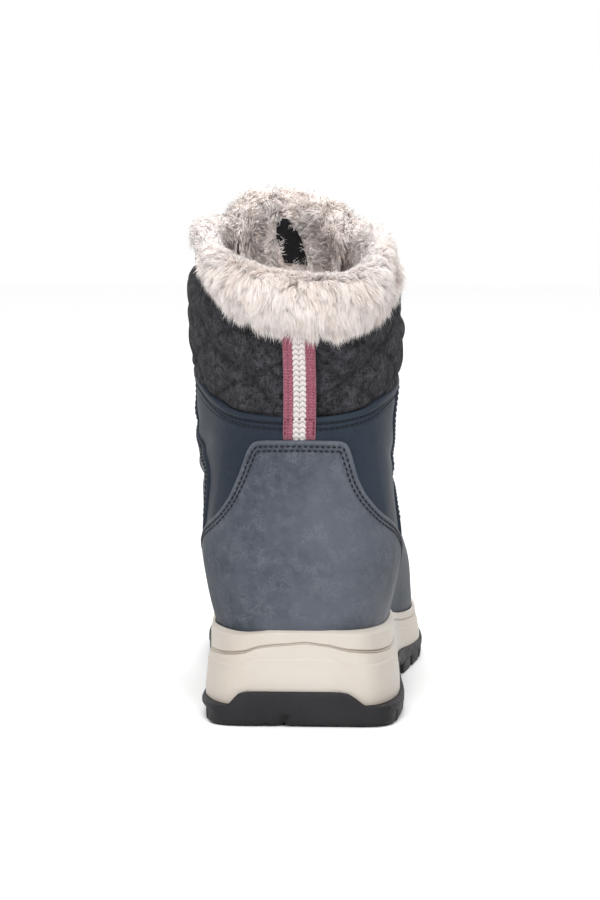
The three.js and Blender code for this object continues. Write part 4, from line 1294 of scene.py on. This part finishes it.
def build_footbed():
    """A pad inside the cup of the midsole, with a shallow hollow and a rounded edge."""
    box = np.array(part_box("insole"))
    low, high = (box - BACK_OF_HEEL) / MM
    angles = np.linspace(-math.pi, math.pi, 120, endpoint=False)
    foot = skin_point(angles, 0.15)
    middle = foot.mean(0)
    rings = []
    section = ((0.2, 2.0), (0.6, 2.0), (0.84, 2.0), (0.87, 1.6), (0.88, 0.9), (0.87, 0.25), (0.84, 0.0),
               (0.7, 0.25), (0.45, 0.4), (0.2, 0.45))
    for scale, drop in section:
        ring = middle + (foot - middle) * scale
        floor = sole_line(ring[:, 1]) - 5.3
        ring[:, 2] = floor + 2.2 - drop
        rings.append(ring)
    points, faces = closed_stack(rings)
    piece = make_piece("fleece_footbed", points, faces, "short fleece", sharp=60)
    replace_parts(piece, "insole")
    print("insole box in the CAD, mm:", np.round([low, high], 1))
    print("footbed, mm:", np.round([points.min(0), points.max(0)], 1))


build_lining()
build_footbed()

# %% [markdown]
# ## Leather overlays
# The counter at the heel, the toe cap, the side panels and the facings are cut leather sewn on top, with
# skived edges and rows of stitching that pull them in. Each is a fan of lines between two paths on the
# skin, and its thickness grows from a free edge like a quarter circle of the distance to it.

# %% Overlay slabs
HEM = 0.35
STITCH_LINES = (2.5, 4.2)
COUNTER_EDGE = [(-1.3, 1.2), (-1.1, 2.2), (-0.87, 3.02), (-0.7, 3.46), (-0.56, 3.84), (-0.48, 4.28),
                (-0.435, 4.84), (-0.402, 5.34), (-0.372, 5.7), (-0.335, 5.86), (-0.27, 5.91), (-0.12, 5.93),
                (0.02, 5.94), (0.2, 5.92), (0.3, 5.9), (0.345, 5.84), (0.368, 5.66), (0.39, 5.25), (0.41, 4.8),
                (0.455, 4.36), (0.55, 3.92), (0.7, 3.56), (0.87, 3.1), (1.1, 2.2), (1.3, 1.2)]


def overlay(name, low, high, finish, nodes, thick, rows, free=("high",), lines=STITCH_LINES):
    """A slab between two paths of (angle, v). `free` names its free edges, and `lines` are the distances of
    the rows of stitching from the `high` edge. Thickness, stitch grooves, creases and tuck add up to its
    height.
    The grooves and a painted shade over the heel's flanks and the outer side go to the finish as values."""
    t = (1 - (1 - np.linspace(0, 1, rows)) ** 1.7)[:, None]
    if "low" in free:
        t = ease(np.linspace(0, 1, rows), 0, 1)[:, None]
    angle, v = (low[k] + (high[k] - low[k]) * t for k in (0, 1))
    flat = skin_point(angle, v)
    edges = {"high": flat[-1], "low": flat[0], "start": flat[:, 0], "end": flat[:, -1]}
    top = distance_to_path(flat, edges["high"])
    nearest = np.min([distance_to_path(flat, edges[key]) for key in free], axis=0)
    bend = np.clip(nearest / 1.2, 0, 1)
    groove_shade = sum((bump_at(top, line, 0.42) for line in lines), np.zeros(top.shape))
    out = 0.1 + thick * np.sqrt(1 - (1 - bend) ** 2) - 0.25 * groove_shade + creases(angle, v) - foot_tuck(angle, v)
    points, quads = slab(skin(angle, v, out), skin(angle, v, -0.4 - foot_tuck(angle, v)))
    # painted shade: darker low on both flanks of the heel, and past an angle of 0.5 to 0.8 over the outer
    # side, where less light falls
    shade = 0.8 * bump_at(angle, 0.62, 0.2) * bump_at(v, 1.5, 0.9)
    shade = shade + 0.7 * bump_at(angle, -0.66, 0.2) * bump_at(v, 1.7, 1.1) + 0.6 * ease(angle, 0.5, 0.8)
    values = {"groove_shade": twice(groove_shade), "rim": twice(bump_at(nearest, 0.5, 0.8)), "shade": twice(shade)}
    piece = make_piece(name, points, quads, finish, values, sharp=70)
    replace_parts(piece, *nodes)


def stitched(edge, offset, side, out, above=0.0):
    """A row of stitches `offset` from an edge path, lying `out` off the leather, where v is over `above`."""
    angle, v = inset(edge[0], edge[1], offset, side)
    keep = v > above
    angle, v = angle[keep], v[keep]
    out = out + creases(angle, v) - foot_tuck(angle, v)
    return stitch_row(skin(angle, v, out), skin_normal(angle, v))


def straight(a0, v0, a1, v1, count):
    """An even path in angle and height."""
    return np.linspace(a0, a1, count), np.linspace(v0, v1, count)


threads = []

# %% Counter
counter_high = path_on_skin(COUNTER_EDGE, 221)
counter_low = straight(COUNTER_EDGE[0][0], HEM, COUNTER_EDGE[-1][0], HEM, 221)
overlay("counter_leather", counter_low, counter_high, "waxed leather", ["heel_counter"], thick=1.35, rows=42)
threads += [stitched(counter_high, offset, -1, 1.32) for offset in STITCH_LINES]

# %% Toe cap
cap_half = [(0, 3.0), (0.3, 2.85), (0.6, 2.2), (0.85, 1.5), (1.02, 1.1)]
cap_edge = [(math.pi - a, v) for a, v in cap_half[:0:-1]] + [(math.pi + a, v) for a, v in cap_half]
cap_high = path_on_skin(cap_edge, 161)
cap_low = straight(cap_edge[0][0], HEM, cap_edge[-1][0], HEM, 161)
overlay("toe_cap_leather", cap_low, cap_high, "waxed leather", ["toe_cap"], thick=1.4, rows=30,
        free=("high", "start", "end"))
threads += [stitched(cap_high, offset, -1, 1.35) for offset in STITCH_LINES]

# %% Side panels and facings
FACING = {"from": 4.35, "to": 8.05, "width": 17}
PANEL = {"from": 0.5, "to": 6.9, "lines": (2.2, 4.2), "stitched_above": 3.5}
CAP_END, CAP_ANGLE = 3.9, 2.62  # below this height a panel ends under the toe cap, at this angle
PANEL_EDGES = {
    -1: [(-0.72, 0.5), (-0.76, 2.0), (-0.80, 3.1), (-0.82, 4.1), (-0.86, 4.9), (-1.06, 5.55), (-1.36, 6.12),
         (-1.46, 6.5), (-1.5, 6.92)],
    1: [(0.8, 0.5), (0.85, 2.0), (0.9, 3.0), (1.05, 4.1), (1.27, 5.0), (1.24, 5.7), (1.21, 6.1),
        (1.24, 6.5), (1.26, 6.82)],
}


def build_side(side, name):
    """A side panel from its curved rear edge to the throat, and the facing that carries the lacing."""
    rear = path_on_skin(PANEL_EDGES[side], 97)
    v = np.linspace(PANEL["from"], PANEL["to"], 97)
    inner, outer = throat_angles(v, 1.5)
    front = np.where(v < CAP_END, side * CAP_ANGLE, inner if side < 0 else outer)
    front = np.convolve(np.pad(front, 8, "edge"), np.ones(17) / 17, "valid")
    low, high = (front[::side], v[::side]), tuple(q[::side] for q in rear)
    overlay(f"side_panel_{name}", low, high, "navy leather", ["upper"], thick=0.95, rows=34,
            lines=PANEL["lines"])
    for offset in PANEL["lines"]:
        threads.append(stitched(high, offset, -1, 0.9, above=PANEL["stitched_above"]))
    steps_v = np.linspace(FACING["from"], FACING["to"], 90)
    share = np.linspace(0, 1, 90)
    reach = FACING["width"] * (0.75 + 0.25 * np.minimum(4 * share, 1))
    near, far = (angle_at(steps_v, side, THROAT(steps_v) + 1 + out) for out in (0, reach))
    low, high = (near[::side], steps_v[::side]), (far[::side], steps_v[::side])
    overlay(f"facing_leather_{name}", low, high, "waxed leather", [f"facing_{name}"], thick=1.9, rows=26,
            free=("low", "high", "start", "end"), lines=(2.3, 15.0))
    threads.append(stitched(high, 2.3, -1, 1.8))
    threads.append(stitched(low, 2.0, 1, 1.8))


build_side(-1, "inner")
build_side(1, "outer")

# %% [markdown]
# ## Pull loop and stitching
# A woven tape runs up the back seam, under the counter at its foot and under the cuff at its top. Its weave
# is a relief of small chevrons: two coarse columns of them in the pale middle, and finer ones in the sides.

# %% Pull loop
TAPE = {"half": 6.2, "thick": 1.25, "from": 5.88, "to": 8.45, "stripe": 2.4}
# Width and pitch of the chevrons, and how far they stand up.
WEAVE = {"pale": (2.4, 2.0, 0.62), "pink": (1.9, 1.15, 0.34)}


def chevrons(across, along, width, pitch):
    """Relief of columns of chevrons: a column's middle leads its sides, and its borders are low."""
    local = np.abs(np.mod(across, width) - width / 2) / (width / 2)
    ridge = np.abs(np.sin(math.pi * (along / pitch + 0.5 * local)))
    return ridge ** 0.7 * (1 - 0.55 * local ** 4)


def build_tape():
    """A grid 12.4 mm wide, lying over the felt in a slight bow, with the woven relief on its outer face."""
    x = np.linspace(-TAPE["half"], TAPE["half"], 47)
    v = np.linspace(TAPE["from"], TAPE["to"], 151)[:, None]
    share = (v - TAPE["from"]) / (TAPE["to"] - TAPE["from"])
    middle = skin_point(0.0, v[:, 0])
    up = lengths_along(middle)[:, None]
    out = 0.45 + 0.8 * np.sin(math.pi * np.clip(share * 1.15, 0, 1)) + 0.25 * np.sin(up / 5.5)
    out -= 1.5 * ease(up, 3.0, 0.5)
    sway = 0.25 * np.sin(up / 11)
    normal = skin_normal(0.0, v)
    white = 1 - ease(np.abs(x + 0.15 * np.sin(up * 3)), TAPE["stripe"] - 0.12, TAPE["stripe"] + 0.12)
    pale = chevrons(x + TAPE["stripe"], up, *WEAVE["pale"][:2])
    pink = chevrons(x + TAPE["half"], up, *WEAVE["pink"][:2])
    relief = white * pale * WEAVE["pale"][2] + (1 - white) * pink * WEAVE["pink"][2]
    edge = ease(np.abs(x), TAPE["half"] - 0.5, TAPE["half"])
    base = middle[:, None] + np.array([1.0, 0, 0]) * (x[:, None] + sway[:, :, None])
    curl = -(x ** 2)[None] * 0.008
    inner = base + normal * (out + curl)[..., None]
    outer = inner + normal * (TAPE["thick"] * (1 - 0.5 * edge) - 0.45 + relief)[..., None]
    points, quads = slab(outer, inner)
    # the relief's pattern, for painted shade in its hollows
    weave_shade = white * pale + (1 - white) * pink
    values = {"stripe": twice(white + 0 * relief), "weave_shade": twice(weave_shade)}
    piece = make_piece("pull_tape", points, quads, "pull webbing", values, sharp=80)
    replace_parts(piece, "pull_loop")
    face = base + normal * (out + curl + TAPE["thick"])[..., None]
    return face, np.broadcast_to(normal, base.shape), up[:, 0]


tape_face, tape_normal, tape_up = build_tape()
box_low, box_high = np.searchsorted(tape_up, (2.4, 8.6))
box_rows = [(slice(box_low, box_high), column) for column in (3, 43)] + [(box_high, slice(3, 44))]
box_size = {"pitch": 1.9, "length": 1.5, "radius": 0.24, "height": 0.05}
points, faces = merged([stitch_row(tape_face[row], tape_normal[row], **box_size) for row in box_rows])
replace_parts(make_piece("tape_stitches", points, faces, "red thread"), "pull_loop")

# %% Stitching on the felt line
felt_edge = np.linspace(-2.2, 2.2, 500)
felt_edge = (felt_edge, FELT_LINE(felt_edge))
threads += [stitched(felt_edge, offset, -1, 0.16) for offset in LEATHER["lines"]]
points, faces = merged(threads)
piece = make_piece("leather_stitches", points, faces, "dark thread")
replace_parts(piece, "upper")

# %% [markdown]
# ## Tongue
# The tongue is padded leather, lined with the same long fur, standing a little above the collar. It follows
# the skin below the throat, from side to side through the front.

# %% Tongue
TONGUE = {"from": 3.95, "to": 9.5, "lower": 15.5, "upper": 25.5, "thin": 4.5, "thick": 8}


def tongue_angle(share, v):
    """Angle at a share, -1 to 1, from the tongue's outer edge through the front to its inner edge."""
    rise = (v - TONGUE["from"]) / (TONGUE["to"] - TONGUE["from"])
    width = TONGUE["lower"] + (TONGUE["upper"] - TONGUE["lower"]) * np.clip(rise, 0, 1)
    outer, inner = angle_at(v, 1, width), 2 * math.pi + angle_at(v, -1, width)
    return (outer + inner) / 2 + share * (inner - outer) / 2


def tongue_round(share):
    """How much lower the tongue's top is towards its sides, in rows."""
    return 0.45 * np.abs(share) ** 3


def build_tongue():
    """Leather outside and fleece inside, each a slab; the leather is puffed a little between its edges."""
    share = np.linspace(-1, 1, 47)
    edge = np.sqrt(1 - np.clip((np.abs(share) - 0.88) / 0.12, 0, 1) ** 2)
    pieces = (("tongue_leather", 8.95, "navy leather"), ("tongue_fleece", 9.34, "fur backing"))
    for name, top, finish in pieces:
        v = np.linspace(TONGUE["from"], top, 66)[:, None]
        angle = tongue_angle(share, v)
        v = v - tongue_round(share) * ease(v, 7.5, 9.3)
        rise = (v - TONGUE["from"]) / (TONGUE["to"] - TONGUE["from"])
        thick = TONGUE["thin"] + (TONGUE["thick"] - TONGUE["thin"]) * rise
        ribs = 0.5 * np.abs(np.sin(rise * 16 * math.pi / 2)) ** 0.5
        outside, inside = 2.6 - (1.6 + ribs) * edge, 2.8 + 0 * thick
        if name == "tongue_fleece":
            outside, inside = 2.85 + 0 * thick, 3.0 + (thick - 2.6) * edge
        points, quads = slab(skin(angle, v, -WALL - outside), skin(angle, v, -WALL - inside))
        piece = make_piece(name, points, quads, finish, sharp=70)
        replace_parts(piece, "tongue")


build_tongue()

# %% [markdown]
# ## Fur
# The cuff is long synthetic fur turned over the collar. Its backing is a soft roll, and its pile is made of
# thin ribbons: every strand starts on the backing, leans the way the fur is combed, droops, and is drawn
# a little towards the tip of its lock, so that the pile breaks up softly. All strands of a patch are worked
# out together as arrays.

# %% The cuff's roll
# By angle from the back: how far the backing hangs outside the felt, how far it stands off the felt and how
# far it rises over the collar. It hangs deepest behind, and not at all on the inner side.
CUFF_COLUMNS = ("degrees", "hang", "puff", "crest")
CUFF_ROWS = [
    (-180, 9, 2.2, 3.5), (-130, 6, 1.4, 3.3), (-105, 1.5, -1.4, 3.2), (-67, 0.3, -2.8, 4.0),
    (-48, 2.2, 0.3, 5), (-32, 6.5, 3.4, 6), (-18, 8.6, 4.8, 6.7), (0, 9.4, 5.2, 7), (22, 9.4, 4.8, 6.5),
    (43, 6.6, 2.0, 7.6), (60, 3.4, -0.6, 9.6), (85, 0.8, -2.4, 9.6), (120, 4, 0.0, 9.5), (180, 9, 2.2, 4),
]
CUFF_INSIDE, CUFF_DEPTH = 6, 20
CUFF_END = float(angle_at(COLLAR, 1, THROAT(COLLAR) + 1))


def by_collar(angle, below, out):
    """A point near the collar's edge: `below` it along the wall, or above it, and `out` from its face."""
    rise = skin_point(angle, COLLAR) - skin_point(angle, COLLAR - 0.5)
    length = np.linalg.norm(rise, axis=-1)
    on_wall = skin(angle, COLLAR - np.maximum(below, 0) * 0.5 / length, out)
    return on_wall + rise / length[..., None] * np.maximum(-below, 0)[..., None]


def cuff_point(angle, p):
    """The cuff's outer face at an angle, p from 0 at its lower edge outside, over the top at 3.5, to 7 at its
    lower edge inside. It is a smooth line through eight knots that come from the cuff's table."""
    column = dict(zip(CUFF_COLUMNS, zip(*CUFF_ROWS)))
    hang, puff, crest = (
        through(column["degrees"], column[key], np.degrees(angle)) for key in ("hang", "puff", "crest")
    )
    inner = -WALL - CUFF_INSIDE + 1.5
    one = np.ones_like(hang)
    below = [hang, 0.55 * hang, -one, -crest * 0.8, -0.7 * crest, one]
    below += [CUFF_DEPTH * 0.5 * one, CUFF_DEPTH * one]
    out = [0.5 * puff, puff, 0.85 * puff, 0.2 * puff - 1.5, 0.72 * inner * one]
    out += [(inner - 0.6) * one, inner * one, (inner + 1.5) * one]
    return by_collar(angle, through(range(8), below, p), through(range(8), out, p))


def surface_frame(surface, a, p, step_a=0.02, step_p=0.05):
    """Point, outward normal, and the unit directions along and up of a two-way surface."""
    along = unit(surface(a + step_a, p) - surface(a - step_a, p))
    up = unit(surface(a, p + step_p) - surface(a, p - step_p))
    return surface(a, p), unit(np.cross(along, up)), along, up


def build_cuff_roll():
    """The backing: the outer face, and the way back along the wall, closed at both ends."""
    angle = np.linspace(-CUFF_END, CUFF_END, 150)[None]
    p = np.linspace(0, 7, 34)[:, None]
    angle, p = np.broadcast_arrays(angle, p)
    face = cuff_point(angle, p)
    face = face + surface_frame(cuff_point, angle, p)[1] * lumps(face, 9, 0.5, 8)[..., None]
    outside, inside = np.maximum(1 - p / 2.5, 0) * 10 - 1.0, np.clip((p - 4.5) / 2.5, 0, 1) * 18 - 1.0
    depth = np.where(p < 3.2, -1.4, np.where(p > 3.8, -WALL - 0.4, -WALL / 2))
    edge = by_collar(angle, np.where(p < 3.5, outside, inside), depth)
    points, quads = slab(face, edge)
    piece = make_piece("cuff_backing", points, quads, "fur backing", sharp=0)
    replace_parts(piece, "fur_cuff")


build_cuff_roll()


# %% Strands
CLUMP = 0.45  # how far a tip is drawn to that of its lock
# How unlike its neighbours a strand is: in lean, rise, lift and length.
UNLIKE = np.array([0.26, 0.2, 0.13, 0.18])


def fur(name, surface, spans, count, length, comb, width, seed, tuft=(0.05, 0.36), droop=0.2,
        nodes=("fur_cuff",), bare=None):
    """One patch of pile. `spans` are the ranges of the surface's two numbers, `comb` gives for each root how
    far it lies up and along and its length and lift, `tuft` is a lock's size in the same numbers, and `bare`
    tells where nothing grows. A strand is a ribbon of three widths: its root, its middle and its tip."""
    own = np.random.default_rng(seed)
    a, p = own.uniform(*spans[0], count), own.uniform(*spans[1], count)
    if bare is not None:
        a, p = a[~bare(a, p)], p[~bare(a, p)]
        count = len(a)
    row = np.floor(p / tuft[1])
    cell = np.stack([np.floor(a / tuft[0] + 0.5 * row), row], -1).astype(int)
    key = (cell[:, 0] * 73856093 ^ cell[:, 1] * 19349663) % 4096
    trait = own.normal(size=(4096, 5))[key]
    heart_p = np.clip((cell[:, 1] + 0.5 + 0.25 * np.tanh(trait[:, 3])) * tuft[1], *spans[1])
    middle = cell[:, 0] + 0.5 - 0.5 * cell[:, 1] + 0.25 * np.tanh(trait[:, 4])
    heart_a = np.clip(middle * tuft[0], *spans[0])

    def path(a, p, jitter):
        """Points along the strand: straight the combed way, and then falling and bending inwards."""
        point, normal, along, up = surface_frame(surface, a, p)
        lay_up, lay_along, longer, lift = comb(a, p)
        lean = (lay_along + 0.28 * trait[:, 0] + jitter[:, 0])[:, None]
        rise = (lay_up + 0.2 * trait[:, 1] + jitter[:, 1])[:, None]
        way = unit(normal * (lift + 0.08 * trait[:, 2] + jitter[:, 2])[:, None] + up * rise + along * lean)
        size = length * longer * (1 + 0.1 * np.tanh(trait[:, 3])) * (1 + jitter[:, 3])
        t = np.array([0.0, 0.55, 1.0])[:, None, None]
        bend = np.array([0.0, 0.0, -1.0]) * droop - normal * 0.25
        return point + (way * t + bend * t ** 2) * size[:, None], normal

    jitter = own.normal(size=(count, 4)) * UNLIKE
    strand, normal = path(a, p, jitter)
    lock = path(heart_a, heart_p, np.zeros((count, 4)))[0]
    pull = (CLUMP * np.array([0.0, 0.62, 1.0]))[:, None, None]
    strand = strand + (lock - strand) * pull * own.uniform(0.5, 1.15, count)[None, :, None]
    across = unit(np.cross(unit(strand[1:] - strand[:-1]), normal + 0.3 * own.normal(size=normal.shape)))
    half = 0.5 * width * own.uniform(0.7, 1.3, count)[:, None]
    low, high = across[0] * half, across[1] * half * 0.85
    rows = [strand[0] - low, strand[0] + low, strand[1] - high, strand[1] + high, strand[2]]
    points = np.stack(rows, 1).reshape(-1, 3)
    first = (np.arange(count) * 5)[:, None]
    faces = [np.array([0, 1, 3, 2]) + first, np.array([2, 3, 4]) + first]
    reach = np.tile([0.0, 0.0, 0.6, 0.6, 1.0], count)
    shade = np.repeat(np.clip(0.5 + 0.2 * trait[:, 4] + 0.25 * own.normal(size=count), 0, 1), 5)
    soft = np.repeat(unit(normal + 0.4 * own.normal(size=normal.shape) + 0.18 * trait[:, :3]), 5, 0)
    values = {"along": reach, "tuft": shade}
    piece = make_piece(name, points, faces, "long fur", values, sharp=0, normals=soft)
    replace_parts(piece, *nodes)


def cuff_comb(a, p):
    """Down and outwards on the outside and over the crest, upright at the inner rim, and down again inside.
    On both sides of the boot, where the cuff hardly hangs, it is brushed up instead and lies flatter. Inside
    it is shorter."""
    turn = np.clip((p - 4.0) / 1.9, -1, 1)
    inner_side = ease(-a, 0.78, 1.12) * ease(-a, 2.1, 1.75)
    outer_side = 0.7 * ease(a, 1.15, 1.5) * ease(a, 2.1, 1.75)
    brushed = 0.6 * (inner_side + outer_side)
    outside = ease(p, 3.6, 2.2)
    up = 1.1 * np.where(turn < 0, turn, 0.6 * turn) + 0.2 * np.sin(9 * a - 2 * p)
    up = up * (1 - brushed * outside) + 0.9 * brushed * outside
    along = 0.32 * np.sin(1.2 * a) + 0.26 * np.sin(6 * a + 1.5 * p) + 0.2 * np.sin(15 * a - 3.1 * p)
    longer = 1.0 + 0.2 * ease(p, 1.2, 0) - 0.3 * ease(p, 2.4, 4.2) - 0.25 * brushed
    along = along + 0.9 * np.sign(a) * ease(np.abs(a), CUFF_END - 0.12, CUFF_END)
    lift = 0.7 + 0.15 * bump_at(p, 3.3, 1.0) - 0.1 * ease(p, 4.0, 5.0) - 0.3 * brushed * outside
    return up, along, longer, lift


REAR, LINING = 0.85, 3.9  # the angle where the rear patch ends, and p where the lining's pile begins
CUFF_PATCHES = [
    # name, angles, p, strands, length, width, seed
    ("cuff_fur_rear", (-REAR, REAR), (-0.15, LINING), 58000, 6.6, 0.28, 31),
    ("cuff_fur_inner", (-CUFF_END, -REAR), (-0.1, LINING), 34000, 5.6, 0.28, 32),
    ("cuff_fur_outer", (REAR, CUFF_END), (-0.1, LINING), 34000, 6.0, 0.28, 33),
    ("lining_fur", (-CUFF_END, CUFF_END), (LINING, 7.4), 30000, 6.0, 0.36, 34),
]
for name, angles, heights, count, length, width, seed in CUFF_PATCHES:
    fur(name, cuff_point, (angles, heights), count, length, cuff_comb, width=width, seed=seed)


# %% The tongue's fur
def tongue_fur_point(share, p):
    """The tongue's furred top: p runs from its outer face over its edge at 2.5 and down its inner face."""
    heights = (8.7, 9.2, 9.56, 9.65, 9.42, 8.85, 8.0, 7.0)
    depths = (-4.6, -4.3, -6.2, -9.8, -12.8, -12.8, -12.2, -11.6)
    lean = np.clip(share, -1.4, 0) * 0.12 + np.clip(share, 0, 1.4) * 0.1
    v = through(range(8), heights, p) - tongue_round(0.85 * share + 0.12)
    return skin(tongue_angle(share + lean, np.minimum(v, 9.5)), v, through(range(8), depths, p))


LABEL = {"top": 4.12, "foot": 5.24, "half": 0.25, "bare_half": 0.2, "bare": (4.16, 5.2)}


def label_middle(p):
    """Where the label's middle is across the tongue; it leans a little."""
    return -0.1 - 0.26 * (p - 4.7)


def label_width(p):
    """How wide the label shows: half at its top, which the pile half hides, and whole further down."""
    return 0.5 + 0.5 * ease(p, 4.2, 4.7)


def bare_tongue(a, p):
    """Whether a root would be under the label, or under the upper beside the throat."""
    low, high = LABEL["bare"]
    label = (np.abs(a - label_middle(p)) < LABEL["bare_half"] * label_width(p)) & (p > low) & (p < high)
    return label | ((np.abs(a) > 0.6) & (p < 2.1))


def build_label():
    """A small dark woven label, sewn flat on the fleece."""
    rows, columns = np.linspace(LABEL["top"], LABEL["foot"], 20), np.linspace(-1, 1, 24) * LABEL["half"]
    p, a = np.meshgrid(rows, columns, indexing="ij")
    a = a * label_width(p) + label_middle(p)
    point, normal = surface_frame(tongue_fur_point, a, p)[:2]
    points, quads = slab(point + 1.6 * normal, point + 0.6 * normal)
    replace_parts(make_piece("inside_label", points, quads, "woven label"), "tongue")


def tongue_comb(a, p):
    """Up and outwards everywhere, on both faces and along the top edge."""
    turn = np.clip((p - 3.0) / 2.0, -1, 1)
    along = 0.3 * a ** 3 + 0.36 * np.sin(7 * a + 1.5 * p) + 0.3 * np.sin(15 * a - 2 * p)
    longer = 1 + 0.15 * a * a - 0.25 * ease(p, 3.2, 4.2)
    up = np.where(turn < 0, -0.3 * turn, -0.5 * turn) + 0.3 * np.sin(11 * p + 4 * a)
    return up, along, longer, 0.75 - 0.1 * ease(p, 3.2, 4.2)


build_label()
fur("tongue_fur", tongue_fur_point, ((-1.3, 1.25), (0.0, 6.6)), 31000, 6.6, tongue_comb, width=0.32,
    seed=35, tuft=(0.08, 0.3), droop=0.14, nodes=("tongue",), bare=bare_tongue)

# %% [markdown]
# ## Lacing
# A lace runs from a bar below the lowest rings up through three pairs of rings and round two pairs of hooks,
# crossing over the tongue between them, and its ends stop at the top hooks. Rings and hooks stand on the
# facings in the CAD model's own places.

# %% Rings and hooks
LACE_ROWS = [4.75, 5.3, 5.85, 6.75, 7.6]
HOOKS_FROM = 3
SEAT = {"beside": 7.5, "height": 2.4}
RING = {"radius": 4, "wire": 1.1, "flat": 0.8, "height": 4.3, "steps": 28, "sides": 10}
# The hook's strip, in millimetres towards the throat, up and outwards, from its tail to its lip.
HOOK_LINE = [(-5, 0, 0.55), (0, 0, 0.55), (4.4, 0, 0.6), (6.0, 0, 2.0), (6.05, 0, 3.8), (4.6, 0, 5.3),
             (1, 0, 5.6), (-2.4, 0, 5.85)]
HOOK = {"half": 3.25, "half_thick": 0.55, "steps": 40, "sides": 16}
LACE = {"steps": 320, "sides": 12, "radius": 1.7, "flat": 0.85}


def lace_seat(side, row):
    """Place, outward normal, up, and the way to the throat at a lace row on one facing."""
    v = LACE_ROWS[row]
    angle = angle_at(v, side, THROAT(v) + SEAT["beside"])
    out = skin_normal(angle, v)
    up = unit(skin_point(angle, v + 0.05) - skin_point(angle, v - 0.05))
    inward = unit(np.cross(up, out) * side)
    return {"at": skin(angle, v, SEAT["height"]), "out": out, "up": up, "inward": inward}


def from_seat(seat, x, y, z):
    """Points x towards the throat, y up and z outwards from a seat."""
    parts = zip((x, y, z), (seat["inward"], seat["up"], seat["out"]))
    return seat["at"] + sum(np.asarray(q, float)[..., None] * way for q, way in parts)


def build_ring(side, row, name):
    """A wire ring, standing up from the facing, its axis along the throat."""
    u = np.linspace(0, 2 * math.pi, RING["steps"], endpoint=False)[:, None]
    w = np.linspace(0, 2 * math.pi, RING["sides"], endpoint=False)[None]
    radius = RING["radius"] + RING["wire"] * np.cos(w)
    across, along = radius * np.cos(u), RING["wire"] * np.sin(w) + 0 * u
    out = radius * np.sin(u) * RING["flat"] + RING["height"]
    points = from_seat(lace_seat(side, row), across, along, out)
    quads = grid_quads(RING["steps"], RING["sides"], close_rows=True, close_columns=True)
    quads = quads if side > 0 else quads[:, ::-1]
    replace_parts(make_piece(f"ring_{name}_{row + 1}", points.reshape(-1, 3), quads, "gunmetal", sharp=0),
                f"lace_ring_{name}_{row + 1}")


def build_hook(side, row, name):
    """A bent strip, flat on the facing and turned back over itself, with its mouth away from the throat."""
    steps, sides = HOOK["steps"], HOOK["sides"]
    line = spline(HOOK_LINE, steps)
    seat = lace_seat(side, row)
    turn = np.linspace(0, 2 * math.pi, sides, endpoint=False)
    along = unit(np.gradient(line, axis=0))
    across = np.array([0.0, 1.0, 0.0])
    thick = np.cross(along, across)
    wide = HOOK["half"] * np.sign(np.cos(turn)) * np.abs(np.cos(turn)) ** 0.45
    deep = HOOK["half_thick"] * np.sign(np.sin(turn)) * np.abs(np.sin(turn)) ** 0.6
    to_end = np.minimum(np.arange(steps), np.arange(steps)[::-1])
    taper = np.sqrt(np.clip(to_end / 3 + 0.25, 0, 1))
    local = line[:, None] + across * (wide * taper[:, None])[..., None] + thick[:, None] * deep[None, :, None]
    points = from_seat(seat, local[..., 0], local[..., 1], local[..., 2]).reshape(-1, 3)
    faces = capped_quads(steps, sides)
    faces = faces if side > 0 else faces[:, ::-1]
    number = row + 1 - HOOKS_FROM
    piece = make_piece(f"hook_{name}_{number}", points, faces, "gunmetal", sharp=60)
    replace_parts(piece, f"lace_hook_{name}_{number}")


for side, name in ((-1, "inner"), (1, "outer")):
    for row in range(len(LACE_ROWS)):
        (build_ring if row < HOOKS_FROM else build_hook)(side, row, name)


# %% Laces
def lace_path(first_side):
    """Points of one lace: out from the middle of the bar, up through a ring or hook on each side in turn, and
    over the tongue between them, now over and now under the other lace."""
    knots = []
    side = first_side
    for row in range(len(LACE_ROWS)):
        here, other = lace_seat(side, row), lace_seat(-side, row)
        inside = (0.0, 4.0) if row < HOOKS_FROM else (3.3, 3.1)
        if row == 0:
            middle = (from_seat(here, 8, -3, 3) + from_seat(other, 8, -3, 3)) / 2
            knots += [middle + here["out"] * 0.8, from_seat(here, 7, -3.6, 3.2)]
        knots += [from_seat(here, inside[0] + 1.2, -2.6, inside[1]), from_seat(here, inside[0], 0, inside[1]),
                  from_seat(here, inside[0] + 1.2, 2.6, inside[1])]
        if row + 1 < len(LACE_ROWS):
            there = lace_seat(-side, row + 1)
            start, end = from_seat(here, 8, 3.6, 3.2), from_seat(there, 8, -3.6, 3.2)
            over = 1.9 if (row % 2 == 0) == (first_side > 0) else -0.6
            knots += [start, (start + end) / 2 + unit(here["out"] + there["out"]) * (1.6 + over), end]
        side = -side
    return np.array(knots)


def build_laces():
    """Both laces as round cords, with a turn of UV round them and millimetres along them."""
    parts, uvs = [], []
    for first_side in (1, -1):
        path = spline(lace_path(first_side), LACE["steps"])
        out = unit(path - np.array([0.0, 70.0, 0.0]) - np.array([0, 0, 1.0]) * path[:, 2:] * 0.4)
        points, quads = tube(path, LACE["radius"], LACE["sides"], LACE["flat"], out)
        distance = lengths_along(path)
        r, c = np.meshgrid(np.arange(LACE["steps"] - 1), np.arange(LACE["sides"]), indexing="ij")
        u = np.stack([c, c + 1, c + 1, c], -1) / LACE["sides"]
        v = distance[np.stack([r, r, r + 1, r + 1], -1)]
        side_uv = np.stack([u, v], -1).reshape(-1, 2)
        cap_uv = np.zeros((4 * (len(quads) - r.size), 2))
        parts.append((points, [quads]))
        uvs.append(np.concatenate([side_uv, cap_uv]))
    points, faces = merged(parts)
    piece = make_piece("lace", points, faces, "braided lace", uv=np.concatenate(uvs), sharp=0)
    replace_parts(piece, "lace_crossings")


build_laces()
